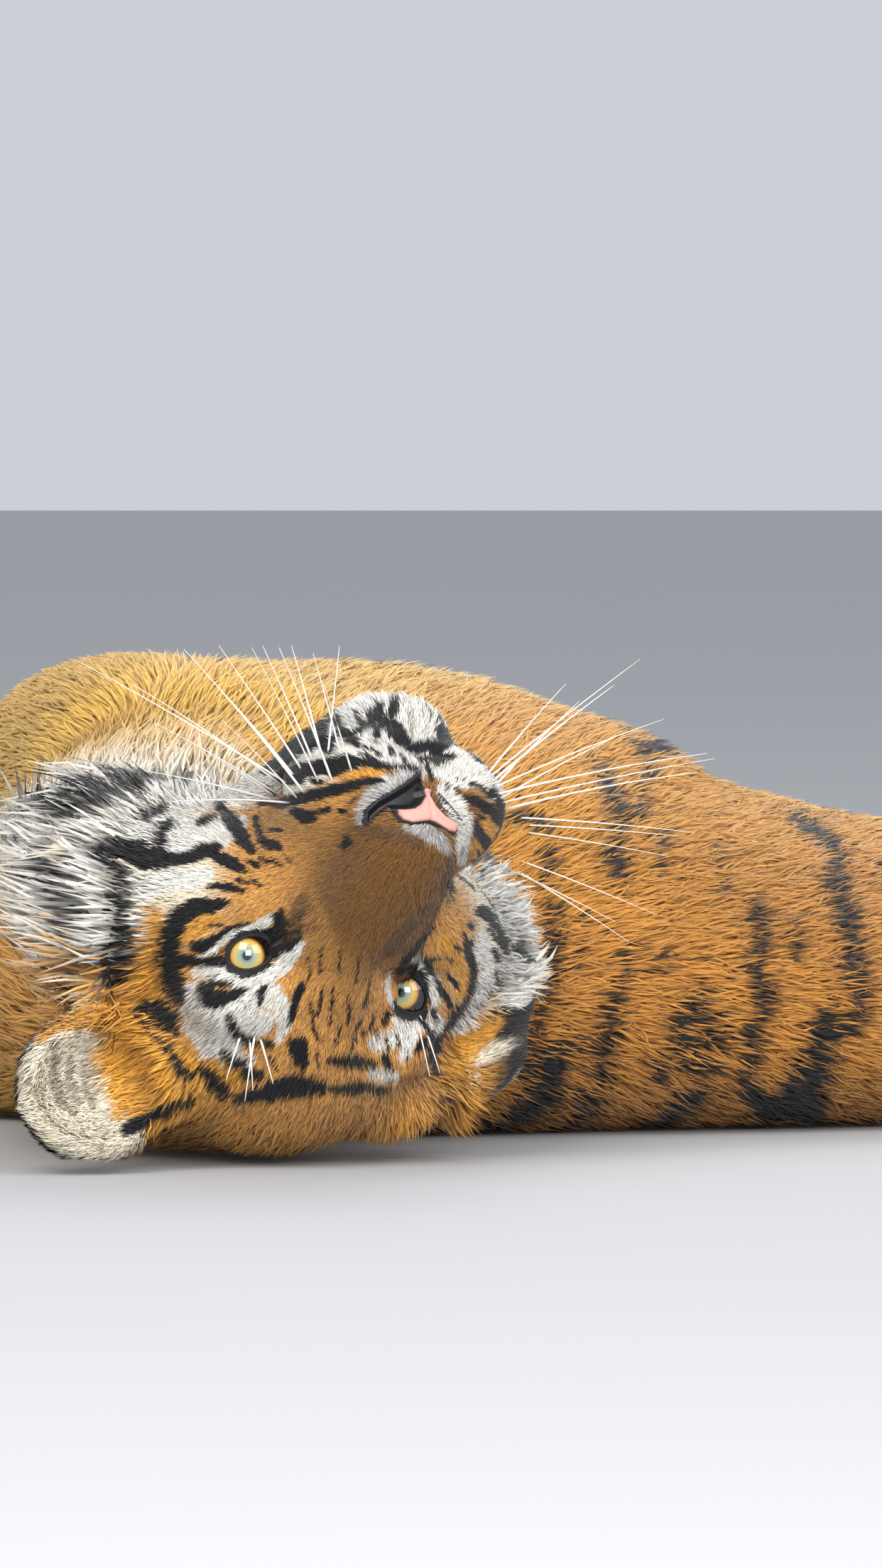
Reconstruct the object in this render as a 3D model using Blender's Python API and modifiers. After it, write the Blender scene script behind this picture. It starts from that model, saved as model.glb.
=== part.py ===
"""Siberian tiger, an adult tigress lying rolled onto her left side with her back to the front.

Her head is turned back over the right shoulder and rests upside down on its crown, mouth closed.
Metres, +Z up.  The origin is on the floor under the middle of the chest.  -Y is the side that the
face looks towards, and +X runs towards the tail.  Outer shapes reach to the tips of the coat.

The flesh is made whole: tubes through stations and rounded masses are fused, smoothed and thinned
out, the floor flattens what lies on it, and thin cuts then part the body where it has names.
"""
import math

import bmesh
import bpy
from mathutils import Euler, Matrix, Vector

# ---- Driving sizes ---------------------------------------------------------------------------
CUT = 0.0003            # width of every cut between two named parts
VOXEL = 0.006           # grain of the fused body
SMOOTHING = 8           # passes that blend the fused masses
BODY_TRIANGLES = 4000   # what the fused body is thinned to
HEAD_FINENESS = 0.03    # how strongly the triangles gather on the head
SKIN_DETAIL = (20, 4)   # sides of a tube of flesh, and its rings between two stations
CUTTER_DETAIL = (12, 2)  # the same for the tube that takes a leg off the body
BALL_SEGMENTS = 14      # segments of the eyes and the nose
EAR_SEGMENTS = 10

# ---- Where the head is and how it is turned --------------------------------------------------
# The head's own axes: x towards the nose, y towards its left ear, z towards its crown, with the
# origin between the eyes.  The roll of nearly half a turn puts the crown on the floor.
HEAD_ORIGIN = Vector((-0.2141, -0.4950, 0.1149))
HEAD_YAW = math.radians(-55.7)
HEAD_PITCH = math.radians(27.2)
HEAD_ROLL = math.radians(165.5)
HEAD = (Matrix.Translation(HEAD_ORIGIN) @ Matrix.Rotation(HEAD_YAW, 4, "Z")
        @ Matrix.Rotation(-HEAD_PITCH, 4, "Y") @ Matrix.Rotation(HEAD_ROLL, 4, "X"))

# ---- Stations --------------------------------------------------------------------------------
# Trunk, chest to root of the tail: centre, half of its depth from back to belly, half of its
# width from side to side, and how far the back is rolled down towards the floor, in degrees.
TRUNK = [
    ((-0.265, -0.140, 0.142), 0.178, 0.134, 30),
    ((-0.138, -0.061, 0.136), 0.200, 0.130, 26),
    ((-0.001, 0.000, 0.104), 0.205, 0.108, 14),
    ((0.140, 0.055, 0.086), 0.200, 0.094, 9),
    ((0.283, 0.102, 0.084), 0.190, 0.092, 7),
    ((0.427, 0.142, 0.086), 0.175, 0.093, 5),
    ((0.573, 0.176, 0.097), 0.168, 0.105, 3),
    ((0.720, 0.205, 0.094), 0.135, 0.097, 0),
    ((0.815, 0.220, 0.086), 0.085, 0.080, 0),
]
# Round limbs: centre and radius, from the body outwards.
NECK = [
    ((-0.265, -0.410, 0.095), 0.098),
    ((-0.305, -0.355, 0.102), 0.104),
    ((-0.328, -0.295, 0.112), 0.110),
    ((-0.325, -0.220, 0.128), 0.120),
    ((-0.285, -0.150, 0.138), 0.130),
]
TAIL = [
    ((0.780, 0.215, 0.086), 0.072),
    ((0.850, 0.215, 0.070), 0.056),
    ((0.940, 0.190, 0.054), 0.049),
    ((1.060, 0.115, 0.044), 0.046),
    ((1.140, -0.010, 0.041), 0.044),
    ((1.165, -0.160, 0.040), 0.042),
    ((1.140, -0.310, 0.037), 0.040),
    ((1.095, -0.430, 0.030), 0.030),
]
LEGS = {
    "foreleg_right": [
        ((-0.325, -0.110, 0.200), 0.092),
        ((-0.365, 0.000, 0.196), 0.090),
        ((-0.390, 0.110, 0.178), 0.074),
        ((-0.450, 0.205, 0.140), 0.062),
        ((-0.515, 0.300, 0.095), 0.054),
        ((-0.560, 0.385, 0.056), 0.062),
        ((-0.588, 0.450, 0.042), 0.048),
    ],
    "foreleg_left": [
        ((-0.330, -0.080, 0.085), 0.088),
        ((-0.380, -0.015, 0.078), 0.086),
        ((-0.450, 0.030, 0.064), 0.073),
        ((-0.560, 0.050, 0.058), 0.063),
        ((-0.675, 0.060, 0.050), 0.054),
        ((-0.765, 0.085, 0.052), 0.062),
        ((-0.830, 0.110, 0.040), 0.048),
    ],
    "hindleg_right": [
        ((0.620, 0.200, 0.152), 0.122),
        ((0.510, 0.290, 0.162), 0.118),
        ((0.385, 0.390, 0.158), 0.090),
        ((0.440, 0.500, 0.128), 0.070),
        ((0.520, 0.612, 0.090), 0.052),
        ((0.455, 0.700, 0.064), 0.048),
        ((0.390, 0.790, 0.050), 0.057),
        ((0.350, 0.850, 0.040), 0.046),
    ],
    "hindleg_left": [
        ((0.690, 0.240, 0.095), 0.105),
        ((0.730, 0.375, 0.092), 0.104),
        ((0.710, 0.520, 0.076), 0.083),
        ((0.810, 0.600, 0.062), 0.066),
        ((0.910, 0.668, 0.049), 0.052),
        ((0.895, 0.765, 0.046), 0.048),
        ((0.875, 0.860, 0.048), 0.057),
        ((0.858, 0.925, 0.040), 0.046),
    ],
}
# Where each leg is parted: how far along it, counted in stations.
LEG_CUTS = {"foreleg": (("upper_arm", 2.5), ("forearm", 4.25), ("paw", None)),
            "hindleg": (("thigh", 2.0), ("shank", 4.0), ("foot", 6.0), ("paw", None))}
# How much wider than a leg its cut in the body is, how far that cut goes past the last station,
# and the station where the leg's own node starts.
LEG_MARGIN = 0.022
PAW_LENGTH = 0.090
LEG_STARTS = {"foreleg_right": 1, "foreleg_left": 1, "hindleg_right": 1, "hindleg_left": 1}
# Cuts across the trunk and tail: centre, direction towards the tail, radius, the two names.
TRUNK_CUTS = [
    ((-0.325, -0.235, 0.120), (0.60, 0.80, 0.0), 0.17, "neck", "trunk"),
    ((0.160, 0.058, 0.092), (0.94, 0.33, 0.0), 0.24, "chest", "rear"),
    ((0.380, 0.128, 0.086), (0.96, 0.27, 0.0), 0.25, "loin", "hind"),
    ((0.845, 0.216, 0.070), (0.98, -0.10, 0.0), 0.09, "rump", "tail"),
    ((1.000, 0.158, 0.045), (0.85, -0.53, 0.0), 0.08, "tail_base", "tail_end"),
    ((1.160, -0.100, 0.037), (0.12, -0.99, 0.0), 0.08, "tail_middle", "tail_tip"),
]
# The cut between head and neck, in the head's own axes.
HEAD_CUT_CENTRE = Vector((-0.135, 0.0, -0.050))
HEAD_CUT_RADIUS = 0.178

# Muscles and paws that stand out of the tubes: centre, radii and turn about the vertical in degrees.
BODY_MASSES = [
    ((-0.295, -0.110, 0.164), (0.132, 0.130, 0.128), 0),    # both shoulders and the breast
    ((-0.128, -0.040, 0.174), (0.165, 0.125, 0.088), 25),   # right shoulder blade and its muscle
    ((0.580, 0.240, 0.150), (0.140, 0.130, 0.105), -20),    # right haunch
    ((-0.592, 0.452, 0.048), (0.064, 0.055, 0.050), 113),   # right fore paw
    ((-0.834, 0.113, 0.046), (0.064, 0.055, 0.049), 159),   # left fore paw
    ((0.350, 0.850, 0.047), (0.062, 0.052, 0.049), 124),    # right hind paw
    ((0.858, 0.924, 0.046), (0.062, 0.052, 0.049), 105),    # left hind paw
]

# Rounded masses of the head, in the head's own axes: centre, radii, and whether each has a twin on
# the other side.
HEAD_MASSES = [
    ((-0.078, 0.000, 0.000), (0.086, 0.086, 0.076), False),    # cranium
    ((-0.034, 0.000, 0.006), (0.047, 0.070, 0.042), False),    # forehead
    ((-0.025, 0.049, 0.021), (0.038, 0.035, 0.021), True),     # brows
    ((-0.008, 0.054, -0.037), (0.040, 0.038, 0.026), True),    # below the eyes
    ((-0.043, 0.074, -0.049), (0.060, 0.055, 0.056), True),    # cheeks
    ((-0.066, 0.108, -0.062), (0.056, 0.058, 0.079), True),    # ruff
    ((0.070, 0.032, -0.078), (0.046, 0.037, 0.035), True),     # whisker pads
    ((0.066, 0.000, -0.120), (0.038, 0.042, 0.025), False),    # chin
    ((-0.115, 0.000, -0.030), (0.070, 0.088, 0.082), False),   # nape
]
# Tubes of the head: centre, half of the height and half of the width.
BRIDGE = [
    ((-0.050, 0.0, 0.020), 0.032, 0.052),
    ((0.000, 0.0, 0.002), 0.031, 0.043),
    ((0.050, 0.0, -0.021), 0.029, 0.037),
    ((0.097, 0.0, -0.045), 0.024, 0.031),
]
MUZZLE = [
    ((-0.020, 0.0, -0.052), 0.056, 0.070),
    ((0.040, 0.0, -0.066), 0.046, 0.057),
    ((0.086, 0.0, -0.071), 0.038, 0.050),
]
JAW = [
    ((-0.100, 0.0, -0.082), 0.054, 0.085),
    ((-0.030, 0.0, -0.096), 0.046, 0.068),
    ((0.060, 0.0, -0.114), 0.028, 0.042),
]
EYE_CENTRE = Vector((-0.012, 0.053, -0.005))
EYE_RADIUS = 0.0165
NOSE_CENTRE = Vector((0.1030, 0.0, -0.0540))
NOSE_RADII = (0.014, 0.022, 0.017)
MUZZLE_CUT = 0.018       # how far in front of the eyes the muzzle is parted from the head
MOUTH_HEIGHT = -0.094    # the closed mouth, below the eyes

# Each ear: root, the way it points, the way its hollow faces, in the head's own axes.  The left
# one is spread sideways.  The right one is folded forward by the floor.
EARS = {
    "ear_left": (Vector((-0.080, 0.068, 0.038)), Vector((-0.15, 0.90, 0.42)), Vector((1.0, 0.05, 0.2))),
    "ear_right": (Vector((-0.080, -0.080, 0.030)), Vector((0.0, -0.80, -0.60)), Vector((0.3, 0.5, -0.8))),
}
EAR_LENGTH = 0.098
EAR_HALF_WIDTH = 0.046
EAR_THICKNESS = 0.014

COLOURS = {
    "coat_orange": ((0.58, 0.24, 0.05, 1.0), 0.85),
    "coat_cream": ((0.80, 0.72, 0.58, 1.0), 0.85),
    "eye": ((0.62, 0.45, 0.10, 1.0), 0.12),
    "nose": ((0.60, 0.27, 0.24, 1.0), 0.50),
}


# ---- Small helpers ---------------------------------------------------------------------------
def make_material(name):
    """A Principled material of one of the named colours."""
    colour, roughness = COLOURS[name]
    material = bpy.data.materials.new(name)
    material.use_nodes = True
    shader = material.node_tree.nodes["Principled BSDF"]
    shader.inputs["Base Color"].default_value = colour
    shader.inputs["Roughness"].default_value = roughness
    shader.inputs["Metallic"].default_value = 0.0
    return material


def add_object(name, mesh, collection):
    """An object of that mesh in that collection."""
    thing = bpy.data.objects.new(name, mesh)
    collection.objects.link(thing)
    return thing


def finish_bmesh(bm, name):
    """The bmesh as a mesh."""
    mesh = bpy.data.meshes.new(name)
    bm.to_mesh(mesh)
    bm.free()
    return mesh


def apply_modifiers(thing):
    """Replaces an object's mesh by what its modifiers make of it."""
    graph = bpy.context.evaluated_depsgraph_get()
    graph.update()
    old = thing.data
    thing.data = bpy.data.meshes.new_from_object(thing.evaluated_get(graph))
    thing.modifiers.clear()
    bpy.data.meshes.remove(old)


def boolean(thing, cutter, operation, folded=False):
    """Cuts, joins or intersects a thing with a cutter, which may be folded into itself."""
    modifier = thing.modifiers.new(operation.lower(), "BOOLEAN")
    modifier.operation = operation
    modifier.object = cutter
    modifier.use_self = folded
    apply_modifiers(thing)


def copy_of(thing, name):
    """A copy with a mesh of its own, in the same collection."""
    return add_object(name, thing.data.copy(), thing.users_collection[0])


def grown(thing, distance, name):
    """A copy whose surface stands out by a distance."""
    larger = copy_of(thing, name)
    modifier = larger.modifiers.new("grow", "DISPLACE")
    modifier.strength = distance
    modifier.mid_level = 0.0
    apply_modifiers(larger)
    return larger


# ---- Shapes ----------------------------------------------------------------------------------
def add_ellipsoid(bm, place, radii, segments=24):
    """A ball stretched to three radii, put in place by a matrix."""
    bmesh.ops.create_uvsphere(bm, u_segments=segments, v_segments=segments // 2, radius=1.0,
                              matrix=place @ Matrix.Diagonal((*radii, 1.0)))


def catmull_rom(before, start, end, after, t):
    """A point on the smooth curve from start to end."""
    return 0.5 * ((2 * start) + (end - before) * t + (2 * before - 5 * start + 4 * end - after) * t ** 2
                  + (3 * start - before - 3 * end + after) * t ** 3)


def smooth_stations(stations, rings_per_span):
    """Adds stations between the given ones, along a smooth curve.

    A station is a centre, half of its extent along its up direction, half of its width, and up.
    """
    dense = []
    last = len(stations) - 1
    for i in range(last):
        four = [stations[max(i - 1, 0)], stations[i], stations[i + 1], stations[min(i + 2, last)]]
        for step in range(rings_per_span):
            t = step / rings_per_span
            dense.append(tuple(catmull_rom(*(s[k] for s in four), t) for k in range(4)))
    dense.append(stations[last])
    return dense


def add_tube(bm, stations, detail=SKIN_DETAIL, rounded=True):
    """A closed tube of elliptical rings through the stations, with rounded or flat ends."""
    sides, rings_per_span = detail
    dense = smooth_stations(stations, rings_per_span)
    rings = []
    for i, (centre, half_up, half_side, up) in enumerate(dense):
        ahead = (dense[min(i + 1, len(dense) - 1)][0] - dense[max(i - 1, 0)][0]).normalized()
        side = ahead.cross(up).normalized()
        true_up = side.cross(ahead)
        ring = []
        for k in range(sides):
            angle = 2 * math.pi * k / sides
            offset = side * (half_side * math.cos(angle)) + true_up * (half_up * math.sin(angle))
            ring.append(bm.verts.new(centre + offset))
        rings.append(ring)
        if rounded and i in (0, len(dense) - 1):
            frame = Matrix((ahead, side, true_up)).transposed().to_4x4()
            end_radii = (0.6 * min(half_up, half_side), half_side * 0.995, half_up * 0.995)
            add_ellipsoid(bm, Matrix.Translation(centre) @ frame, end_radii)
    for one, other in zip(rings, rings[1:]):
        for k in range(sides):
            following = (k + 1) % sides
            bm.faces.new((one[following], one[k], other[k], other[following]))
    bm.faces.new(rings[0])
    bm.faces.new(list(reversed(rings[-1])))


def trunk_stations():
    """The trunk's stations with the back's direction, rolled down from the side of the face."""
    centres = [Vector(centre) for centre, *_ in TRUNK]
    stations = []
    for i, (_, half_depth, half_width, roll) in enumerate(TRUNK):
        ahead = (centres[min(i + 1, len(centres) - 1)] - centres[max(i - 1, 0)]).normalized()
        level_back = Vector((ahead.y, -ahead.x, 0.0)).normalized()
        angle = math.radians(roll)
        back = level_back * math.cos(angle) - Vector((0, 0, 1)) * math.sin(angle)
        stations.append((centres[i], half_depth, half_width, back))
    return stations


def limb_stations(stations, extra=0.0):
    """Round stations, as much thicker as asked."""
    return [(Vector(centre), radius + extra, radius + extra, Vector((0, 0, 1)))
            for centre, radius in stations]


def head_stations(stations):
    """Stations given in the head's own axes, put where the head is."""
    up = (HEAD.to_3x3() @ Vector((0, 0, 1)))
    return [(HEAD @ Vector(centre), half_height, half_width, up)
            for centre, half_height, half_width in stations]


def both_sides(centre):
    """A place on the left of the head and its mirror image on the right."""
    return (Vector(centre), Vector((centre[0], -centre[1], centre[2])))


def add_head(bm):
    """The head's masses and tubes."""
    for centre, radii, has_twin in HEAD_MASSES:
        for place in both_sides(centre)[:2 if has_twin else 1]:
            add_ellipsoid(bm, HEAD @ Matrix.Translation(place), radii)
    for tube in (BRIDGE, MUZZLE, JAW):
        add_tube(bm, head_stations(tube))


def add_body_masses(bm):
    """The shoulders, the haunch and the paws."""
    for centre, radii, turn in BODY_MASSES:
        add_ellipsoid(bm, Matrix.Translation(centre) @ Matrix.Rotation(math.radians(turn), 4, "Z"), radii)


def make_body(collection):
    """All the flesh but the ears, fused into one body that lies flat on the floor."""
    bm = bmesh.new()
    add_tube(bm, trunk_stations())
    add_body_masses(bm)
    for limb in (NECK, TAIL, *LEGS.values()):
        add_tube(bm, limb_stations(limb))
    add_head(bm)
    body = add_object("body", finish_bmesh(bm, "body"), collection)
    remesh = body.modifiers.new("fuse", "REMESH")
    remesh.mode = "VOXEL"
    remesh.voxel_size = VOXEL
    smooth = body.modifiers.new("blend", "SMOOTH")
    smooth.factor = 0.5
    smooth.iterations = SMOOTHING
    apply_modifiers(body)
    thin_out(body)
    flatten_on_floor(body)
    return body


def thin_out(body):
    """Leaves the body the wanted number of triangles, closest together on the head."""
    group = body.vertex_groups.new(name="away_from_the_head")
    for vertex in body.data.vertices:
        distance = (vertex.co - HEAD_ORIGIN).length
        group.add([vertex.index], min(1.0, 0.5 + max(0.0, distance - 0.17) * 4), "REPLACE")
    triangles = 2 * len(body.data.polygons)
    decimate = body.modifiers.new("thin_out", "DECIMATE")
    decimate.ratio = BODY_TRIANGLES / triangles
    decimate.use_collapse_triangulate = True
    decimate.vertex_group = group.name
    decimate.vertex_group_factor = HEAD_FINENESS
    apply_modifiers(body)
    body.vertex_groups.clear()


def flatten_on_floor(thing):
    """Cuts away what would lie under the floor."""
    bm = bmesh.new()
    below = Matrix.Translation((0, 0, -0.5)) @ Matrix.Diagonal((6, 6, 1, 1))
    bmesh.ops.create_cube(bm, size=1.0, matrix=below)
    floor = add_object("floor", finish_bmesh(bm, "floor"), thing.users_collection[0])
    boolean(thing, floor, "DIFFERENCE")
    bpy.data.objects.remove(floor)


def disc(centre, normal, radius, collection):
    """A thin round blade that parts what it crosses."""
    place = Matrix.Translation(centre) @ Vector(normal).to_track_quat("Z", "Y").to_matrix().to_4x4()
    bm = bmesh.new()
    bmesh.ops.create_cone(bm, cap_ends=True, segments=16, radius1=radius, radius2=radius, depth=CUT,
                          matrix=place)
    return add_object("blade", finish_bmesh(bm, "blade"), collection)


def loose_pieces(thing):
    """Splits an object into its closed bodies, each an object of its own."""
    bpy.ops.object.select_all(action="DESELECT")
    bpy.context.view_layer.objects.active = thing
    thing.select_set(True)
    bpy.ops.object.mode_set(mode="EDIT")
    bpy.ops.mesh.select_all(action="SELECT")
    bpy.ops.mesh.separate(type="LOOSE")
    bpy.ops.object.mode_set(mode="OBJECT")
    return list(bpy.context.selected_objects)


def middle(thing):
    """The mean place of an object's vertices."""
    return sum((vertex.co for vertex in thing.data.vertices), Vector()) / len(thing.data.vertices)


def keep_largest(thing):
    """Leaves only the largest of an object's closed bodies, and returns it under the same name."""
    name = thing.name
    pieces = loose_pieces(thing)
    kept = max(pieces, key=lambda piece: len(piece.data.vertices))
    for piece in pieces:
        if piece is not kept:
            bpy.data.objects.remove(piece)
    kept.name = name
    return kept


def part_with_disc(thing, centre, normal, radius, name_behind, name_ahead):
    """Parts a thing at a disc.  The piece that the normal points at is the one ahead."""
    blade = disc(centre, normal, radius, thing.users_collection[0])
    boolean(thing, blade, "DIFFERENCE")
    bpy.data.objects.remove(blade)
    pieces = loose_pieces(thing)
    if len(pieces) != 2:
        raise RuntimeError(f"the cut for {name_ahead} leaves {len(pieces)} pieces")
    behind, ahead = sorted(pieces, key=lambda piece: (middle(piece) - centre).dot(normal))
    ahead.name = name_ahead
    behind.name = name_behind
    return behind, ahead


# ---- The named parts -------------------------------------------------------------------------
def leg_cutter(stations, extra, collection):
    """A closed tube round a leg, out past its paw.  Its inner end stands out by the extra too."""
    tube = limb_stations(stations, LEG_MARGIN + extra)
    for at, inner, distance in ((0, 1, extra), (-1, -2, PAW_LENGTH)):
        end, *sizes = tube[at]
        tube[at] = (end + (end - tube[inner][0]).normalized() * distance, *sizes)
    bm = bmesh.new()
    add_tube(bm, tube, CUTTER_DETAIL, rounded=False)
    bmesh.ops.triangulate(bm, faces=bm.faces, quad_method="FIXED")
    return add_object("leg_cutter", finish_bmesh(bm, "leg_cutter"), collection)


def place_along(stations, position):
    """Centre, direction and radius of a limb at a position counted in stations."""
    rings_per_span = SKIN_DETAIL[1]
    dense = smooth_stations(stations, rings_per_span)
    i = min(round(position * rings_per_span), len(dense) - 2)
    centre, radius = dense[i][0], dense[i][1]
    return centre, (dense[i + 1][0] - dense[i - 1][0]).normalized(), radius


def take_leg(body, name, stations, collection):
    """Takes a leg off the body, parts it at its joints and returns the rest of the body."""
    free = stations[LEG_STARTS[name]:]
    outside = leg_cutter(free, 0.0, collection)
    leg = copy_of(body, name)
    boolean(leg, outside, "INTERSECT", folded=True)
    leg = keep_largest(leg)
    wider = leg_cutter(free, CUT, collection)
    boolean(body, wider, "DIFFERENCE", folded=True)
    for cutter in (outside, wider):
        bpy.data.objects.remove(cutter)
    rest = leg
    *inner, (last, _) = LEG_CUTS[name.split("_")[0]]
    names = [f"{name}_{part}" for part, _ in inner] + [f"{name}_{last}"]
    for (_, position), behind, ahead in zip(inner, names, names[1:]):
        centre, normal, radius = place_along(limb_stations(stations), position)
        _, rest = part_with_disc(rest, centre, normal, 1.6 * radius, behind, ahead)
    return keep_largest(body)


def make_eye(name, side, head, collection):
    """An eyeball and the socket that it lies in."""
    centre = HEAD @ Vector((EYE_CENTRE.x, side * EYE_CENTRE.y, EYE_CENTRE.z))
    for label, radius in ((name, EYE_RADIUS), ("socket", EYE_RADIUS + CUT)):
        bm = bmesh.new()
        add_ellipsoid(bm, Matrix.Translation(centre), (radius, radius, radius), segments=BALL_SEGMENTS)
        ball = add_object(label, finish_bmesh(bm, label), collection)
        if label == "socket":
            boolean(head, ball, "DIFFERENCE")
            bpy.data.objects.remove(ball)


def make_nose(muzzle, collection):
    """The bare nose pad, let into the end of the muzzle."""
    for label, extra in (("nose", 0.0), ("recess", CUT)):
        bm = bmesh.new()
        radii = [radius + extra for radius in NOSE_RADII]
        add_ellipsoid(bm, HEAD @ Matrix.Translation(NOSE_CENTRE), radii, segments=BALL_SEGMENTS)
        pad = add_object(label, finish_bmesh(bm, label), collection)
        if label == "recess":
            boolean(muzzle, pad, "DIFFERENCE")
            bpy.data.objects.remove(pad)


def make_ear(name, head_skin, collection):
    """A round, hollow ear on the head."""
    root, pointing, facing = EARS[name]
    along = pointing.normalized()
    across = facing.cross(along).normalized()
    out = along.cross(across)
    frame = HEAD @ Matrix.Translation(root) @ Matrix((along, across, out)).transposed().to_4x4()
    shapes = []
    for label, centre, radii in (
            ("cup", (0.52 * EAR_LENGTH, 0, 0), (0.50 * EAR_LENGTH, EAR_HALF_WIDTH, 0.024)),
            ("root", (0.10 * EAR_LENGTH, 0, 0), (0.45 * EAR_LENGTH, 0.8 * EAR_HALF_WIDTH, 0.028)),
            ("hollow", (0.56 * EAR_LENGTH, 0, 0.018),
             (0.40 * EAR_LENGTH, EAR_HALF_WIDTH - EAR_THICKNESS, 0.024))):
        bm = bmesh.new()
        add_ellipsoid(bm, frame @ Matrix.Translation(centre), radii, segments=EAR_SEGMENTS)
        shapes.append(add_object(label, finish_bmesh(bm, label), collection))
    ear, ear_root, hollow = shapes
    boolean(ear, ear_root, "UNION")
    boolean(ear, hollow, "DIFFERENCE")
    boolean(ear, head_skin, "DIFFERENCE")
    flatten_on_floor(ear)
    for shape in (ear_root, hollow):
        bpy.data.objects.remove(shape)
    keep_largest(ear).name = name


def take_head(body, collection):
    """Takes the head off the neck, parts muzzle and jaw, and sets in eyes, nose and ears."""
    axes = HEAD.to_3x3()
    forward = axes @ Vector((1, 0, 0))
    down = axes @ Vector((0, 0, -1))
    body, head = part_with_disc(body, HEAD @ HEAD_CUT_CENTRE, forward, HEAD_CUT_RADIUS, "body", "head")
    skin = grown(head, CUT, "head_skin")
    for name in EARS:
        make_ear(name, skin, collection)
    bpy.data.objects.remove(skin)
    head, muzzle = part_with_disc(head, HEAD @ Vector((MUZZLE_CUT, 0, -0.05)), forward, 0.16,
                                  "head", "muzzle")
    muzzle, _ = part_with_disc(muzzle, HEAD @ Vector((0.06, 0, MOUTH_HEIGHT)), down, 0.12,
                               "muzzle", "lower_jaw")
    make_eye("eye_left", 1, head, collection)
    make_eye("eye_right", -1, head, collection)
    make_nose(muzzle, collection)
    return body


def part_trunk(body):
    """Parts neck, chest, loin, rump and the lengths of the tail, from the head backwards."""
    rest = body
    for centre, normal, radius, behind, ahead in TRUNK_CUTS:
        _, rest = part_with_disc(rest, Vector(centre), Vector(normal).normalized(), radius, behind, ahead)


def colour_parts(collection):
    """Gives every part its own material and smooth shading where the form is smooth."""
    for thing in collection.objects:
        if thing.name.startswith("eye"):
            colour = "eye"
        elif thing.name == "nose":
            colour = "nose"
        elif thing.name == "lower_jaw":
            colour = "coat_cream"
        else:
            colour = "coat_orange"
        material = make_material(colour)
        material.name = f"{thing.name}_{colour}"
        thing.data.materials.clear()
        thing.data.materials.append(material)
        thing.data.shade_smooth()


def main():
    for thing in list(bpy.data.objects):
        bpy.data.objects.remove(thing)
    collection = bpy.data.collections.new("siberian_tiger")
    bpy.context.scene.collection.children.link(collection)
    body = make_body(collection)
    for name, stations in LEGS.items():
        body = take_leg(body, name, stations, collection)
    body = take_head(body, collection)
    part_trunk(body)
    colour_parts(collection)


main()
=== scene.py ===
"""The looks of the lying siberian tiger: skin, coat, markings, eyes, nose, whiskers and claws."""
import math

import bmesh
import bpy
import numpy as np
from mathutils import Matrix, Vector
from mathutils.bvhtree import BVHTree
from mathutils.kdtree import KDTree


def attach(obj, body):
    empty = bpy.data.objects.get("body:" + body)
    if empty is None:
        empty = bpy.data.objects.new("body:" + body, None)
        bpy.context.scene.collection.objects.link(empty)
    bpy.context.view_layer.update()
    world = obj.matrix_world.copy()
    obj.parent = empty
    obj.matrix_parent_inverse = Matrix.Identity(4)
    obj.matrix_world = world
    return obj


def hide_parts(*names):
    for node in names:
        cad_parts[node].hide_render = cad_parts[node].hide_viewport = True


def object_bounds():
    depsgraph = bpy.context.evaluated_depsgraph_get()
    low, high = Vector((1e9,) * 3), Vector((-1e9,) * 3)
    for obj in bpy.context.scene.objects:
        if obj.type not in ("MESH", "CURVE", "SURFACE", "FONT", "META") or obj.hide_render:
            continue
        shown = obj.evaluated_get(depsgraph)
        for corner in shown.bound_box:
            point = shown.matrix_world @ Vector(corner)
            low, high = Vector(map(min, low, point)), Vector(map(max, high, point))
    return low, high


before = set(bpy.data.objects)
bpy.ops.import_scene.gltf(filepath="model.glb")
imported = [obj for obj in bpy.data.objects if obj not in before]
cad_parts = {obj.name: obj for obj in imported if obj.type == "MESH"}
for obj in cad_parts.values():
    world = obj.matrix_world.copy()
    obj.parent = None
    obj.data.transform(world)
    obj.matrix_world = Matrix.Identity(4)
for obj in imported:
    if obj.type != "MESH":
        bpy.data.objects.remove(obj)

CAD_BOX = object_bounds()
BODY = "root"
RNG = np.random.default_rng(7)

# ---- The animal's form, in metres, as in the CAD ---------------------------------------------
# The head's own axes: x towards the nose, y towards its left ear, z towards its crown, with the
# origin between the eyes.
HEAD_ORIGIN = Vector((-0.2141, -0.4950, 0.1149))
HEAD = (Matrix.Translation(HEAD_ORIGIN) @ Matrix.Rotation(math.radians(-55.7), 4, "Z")
        @ Matrix.Rotation(math.radians(-27.2), 4, "Y")
        @ Matrix.Rotation(math.radians(165.5), 4, "X"))
HEAD_INVERSE = HEAD.inverted()

# Trunk: centre, half depth from back to belly, half width, and how far the back is rolled down.
TRUNK = [
    ((-0.265, -0.140, 0.142), 0.178, 0.134, 30),
    ((-0.138, -0.061, 0.136), 0.200, 0.130, 26),
    ((-0.001, 0.000, 0.104), 0.205, 0.108, 14),
    ((0.140, 0.055, 0.086), 0.200, 0.094, 9),
    ((0.283, 0.102, 0.084), 0.190, 0.092, 7),
    ((0.427, 0.142, 0.086), 0.175, 0.093, 5),
    ((0.573, 0.176, 0.097), 0.168, 0.105, 3),
    ((0.720, 0.205, 0.094), 0.135, 0.097, 0),
    ((0.815, 0.220, 0.086), 0.085, 0.080, 0),
]
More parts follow.
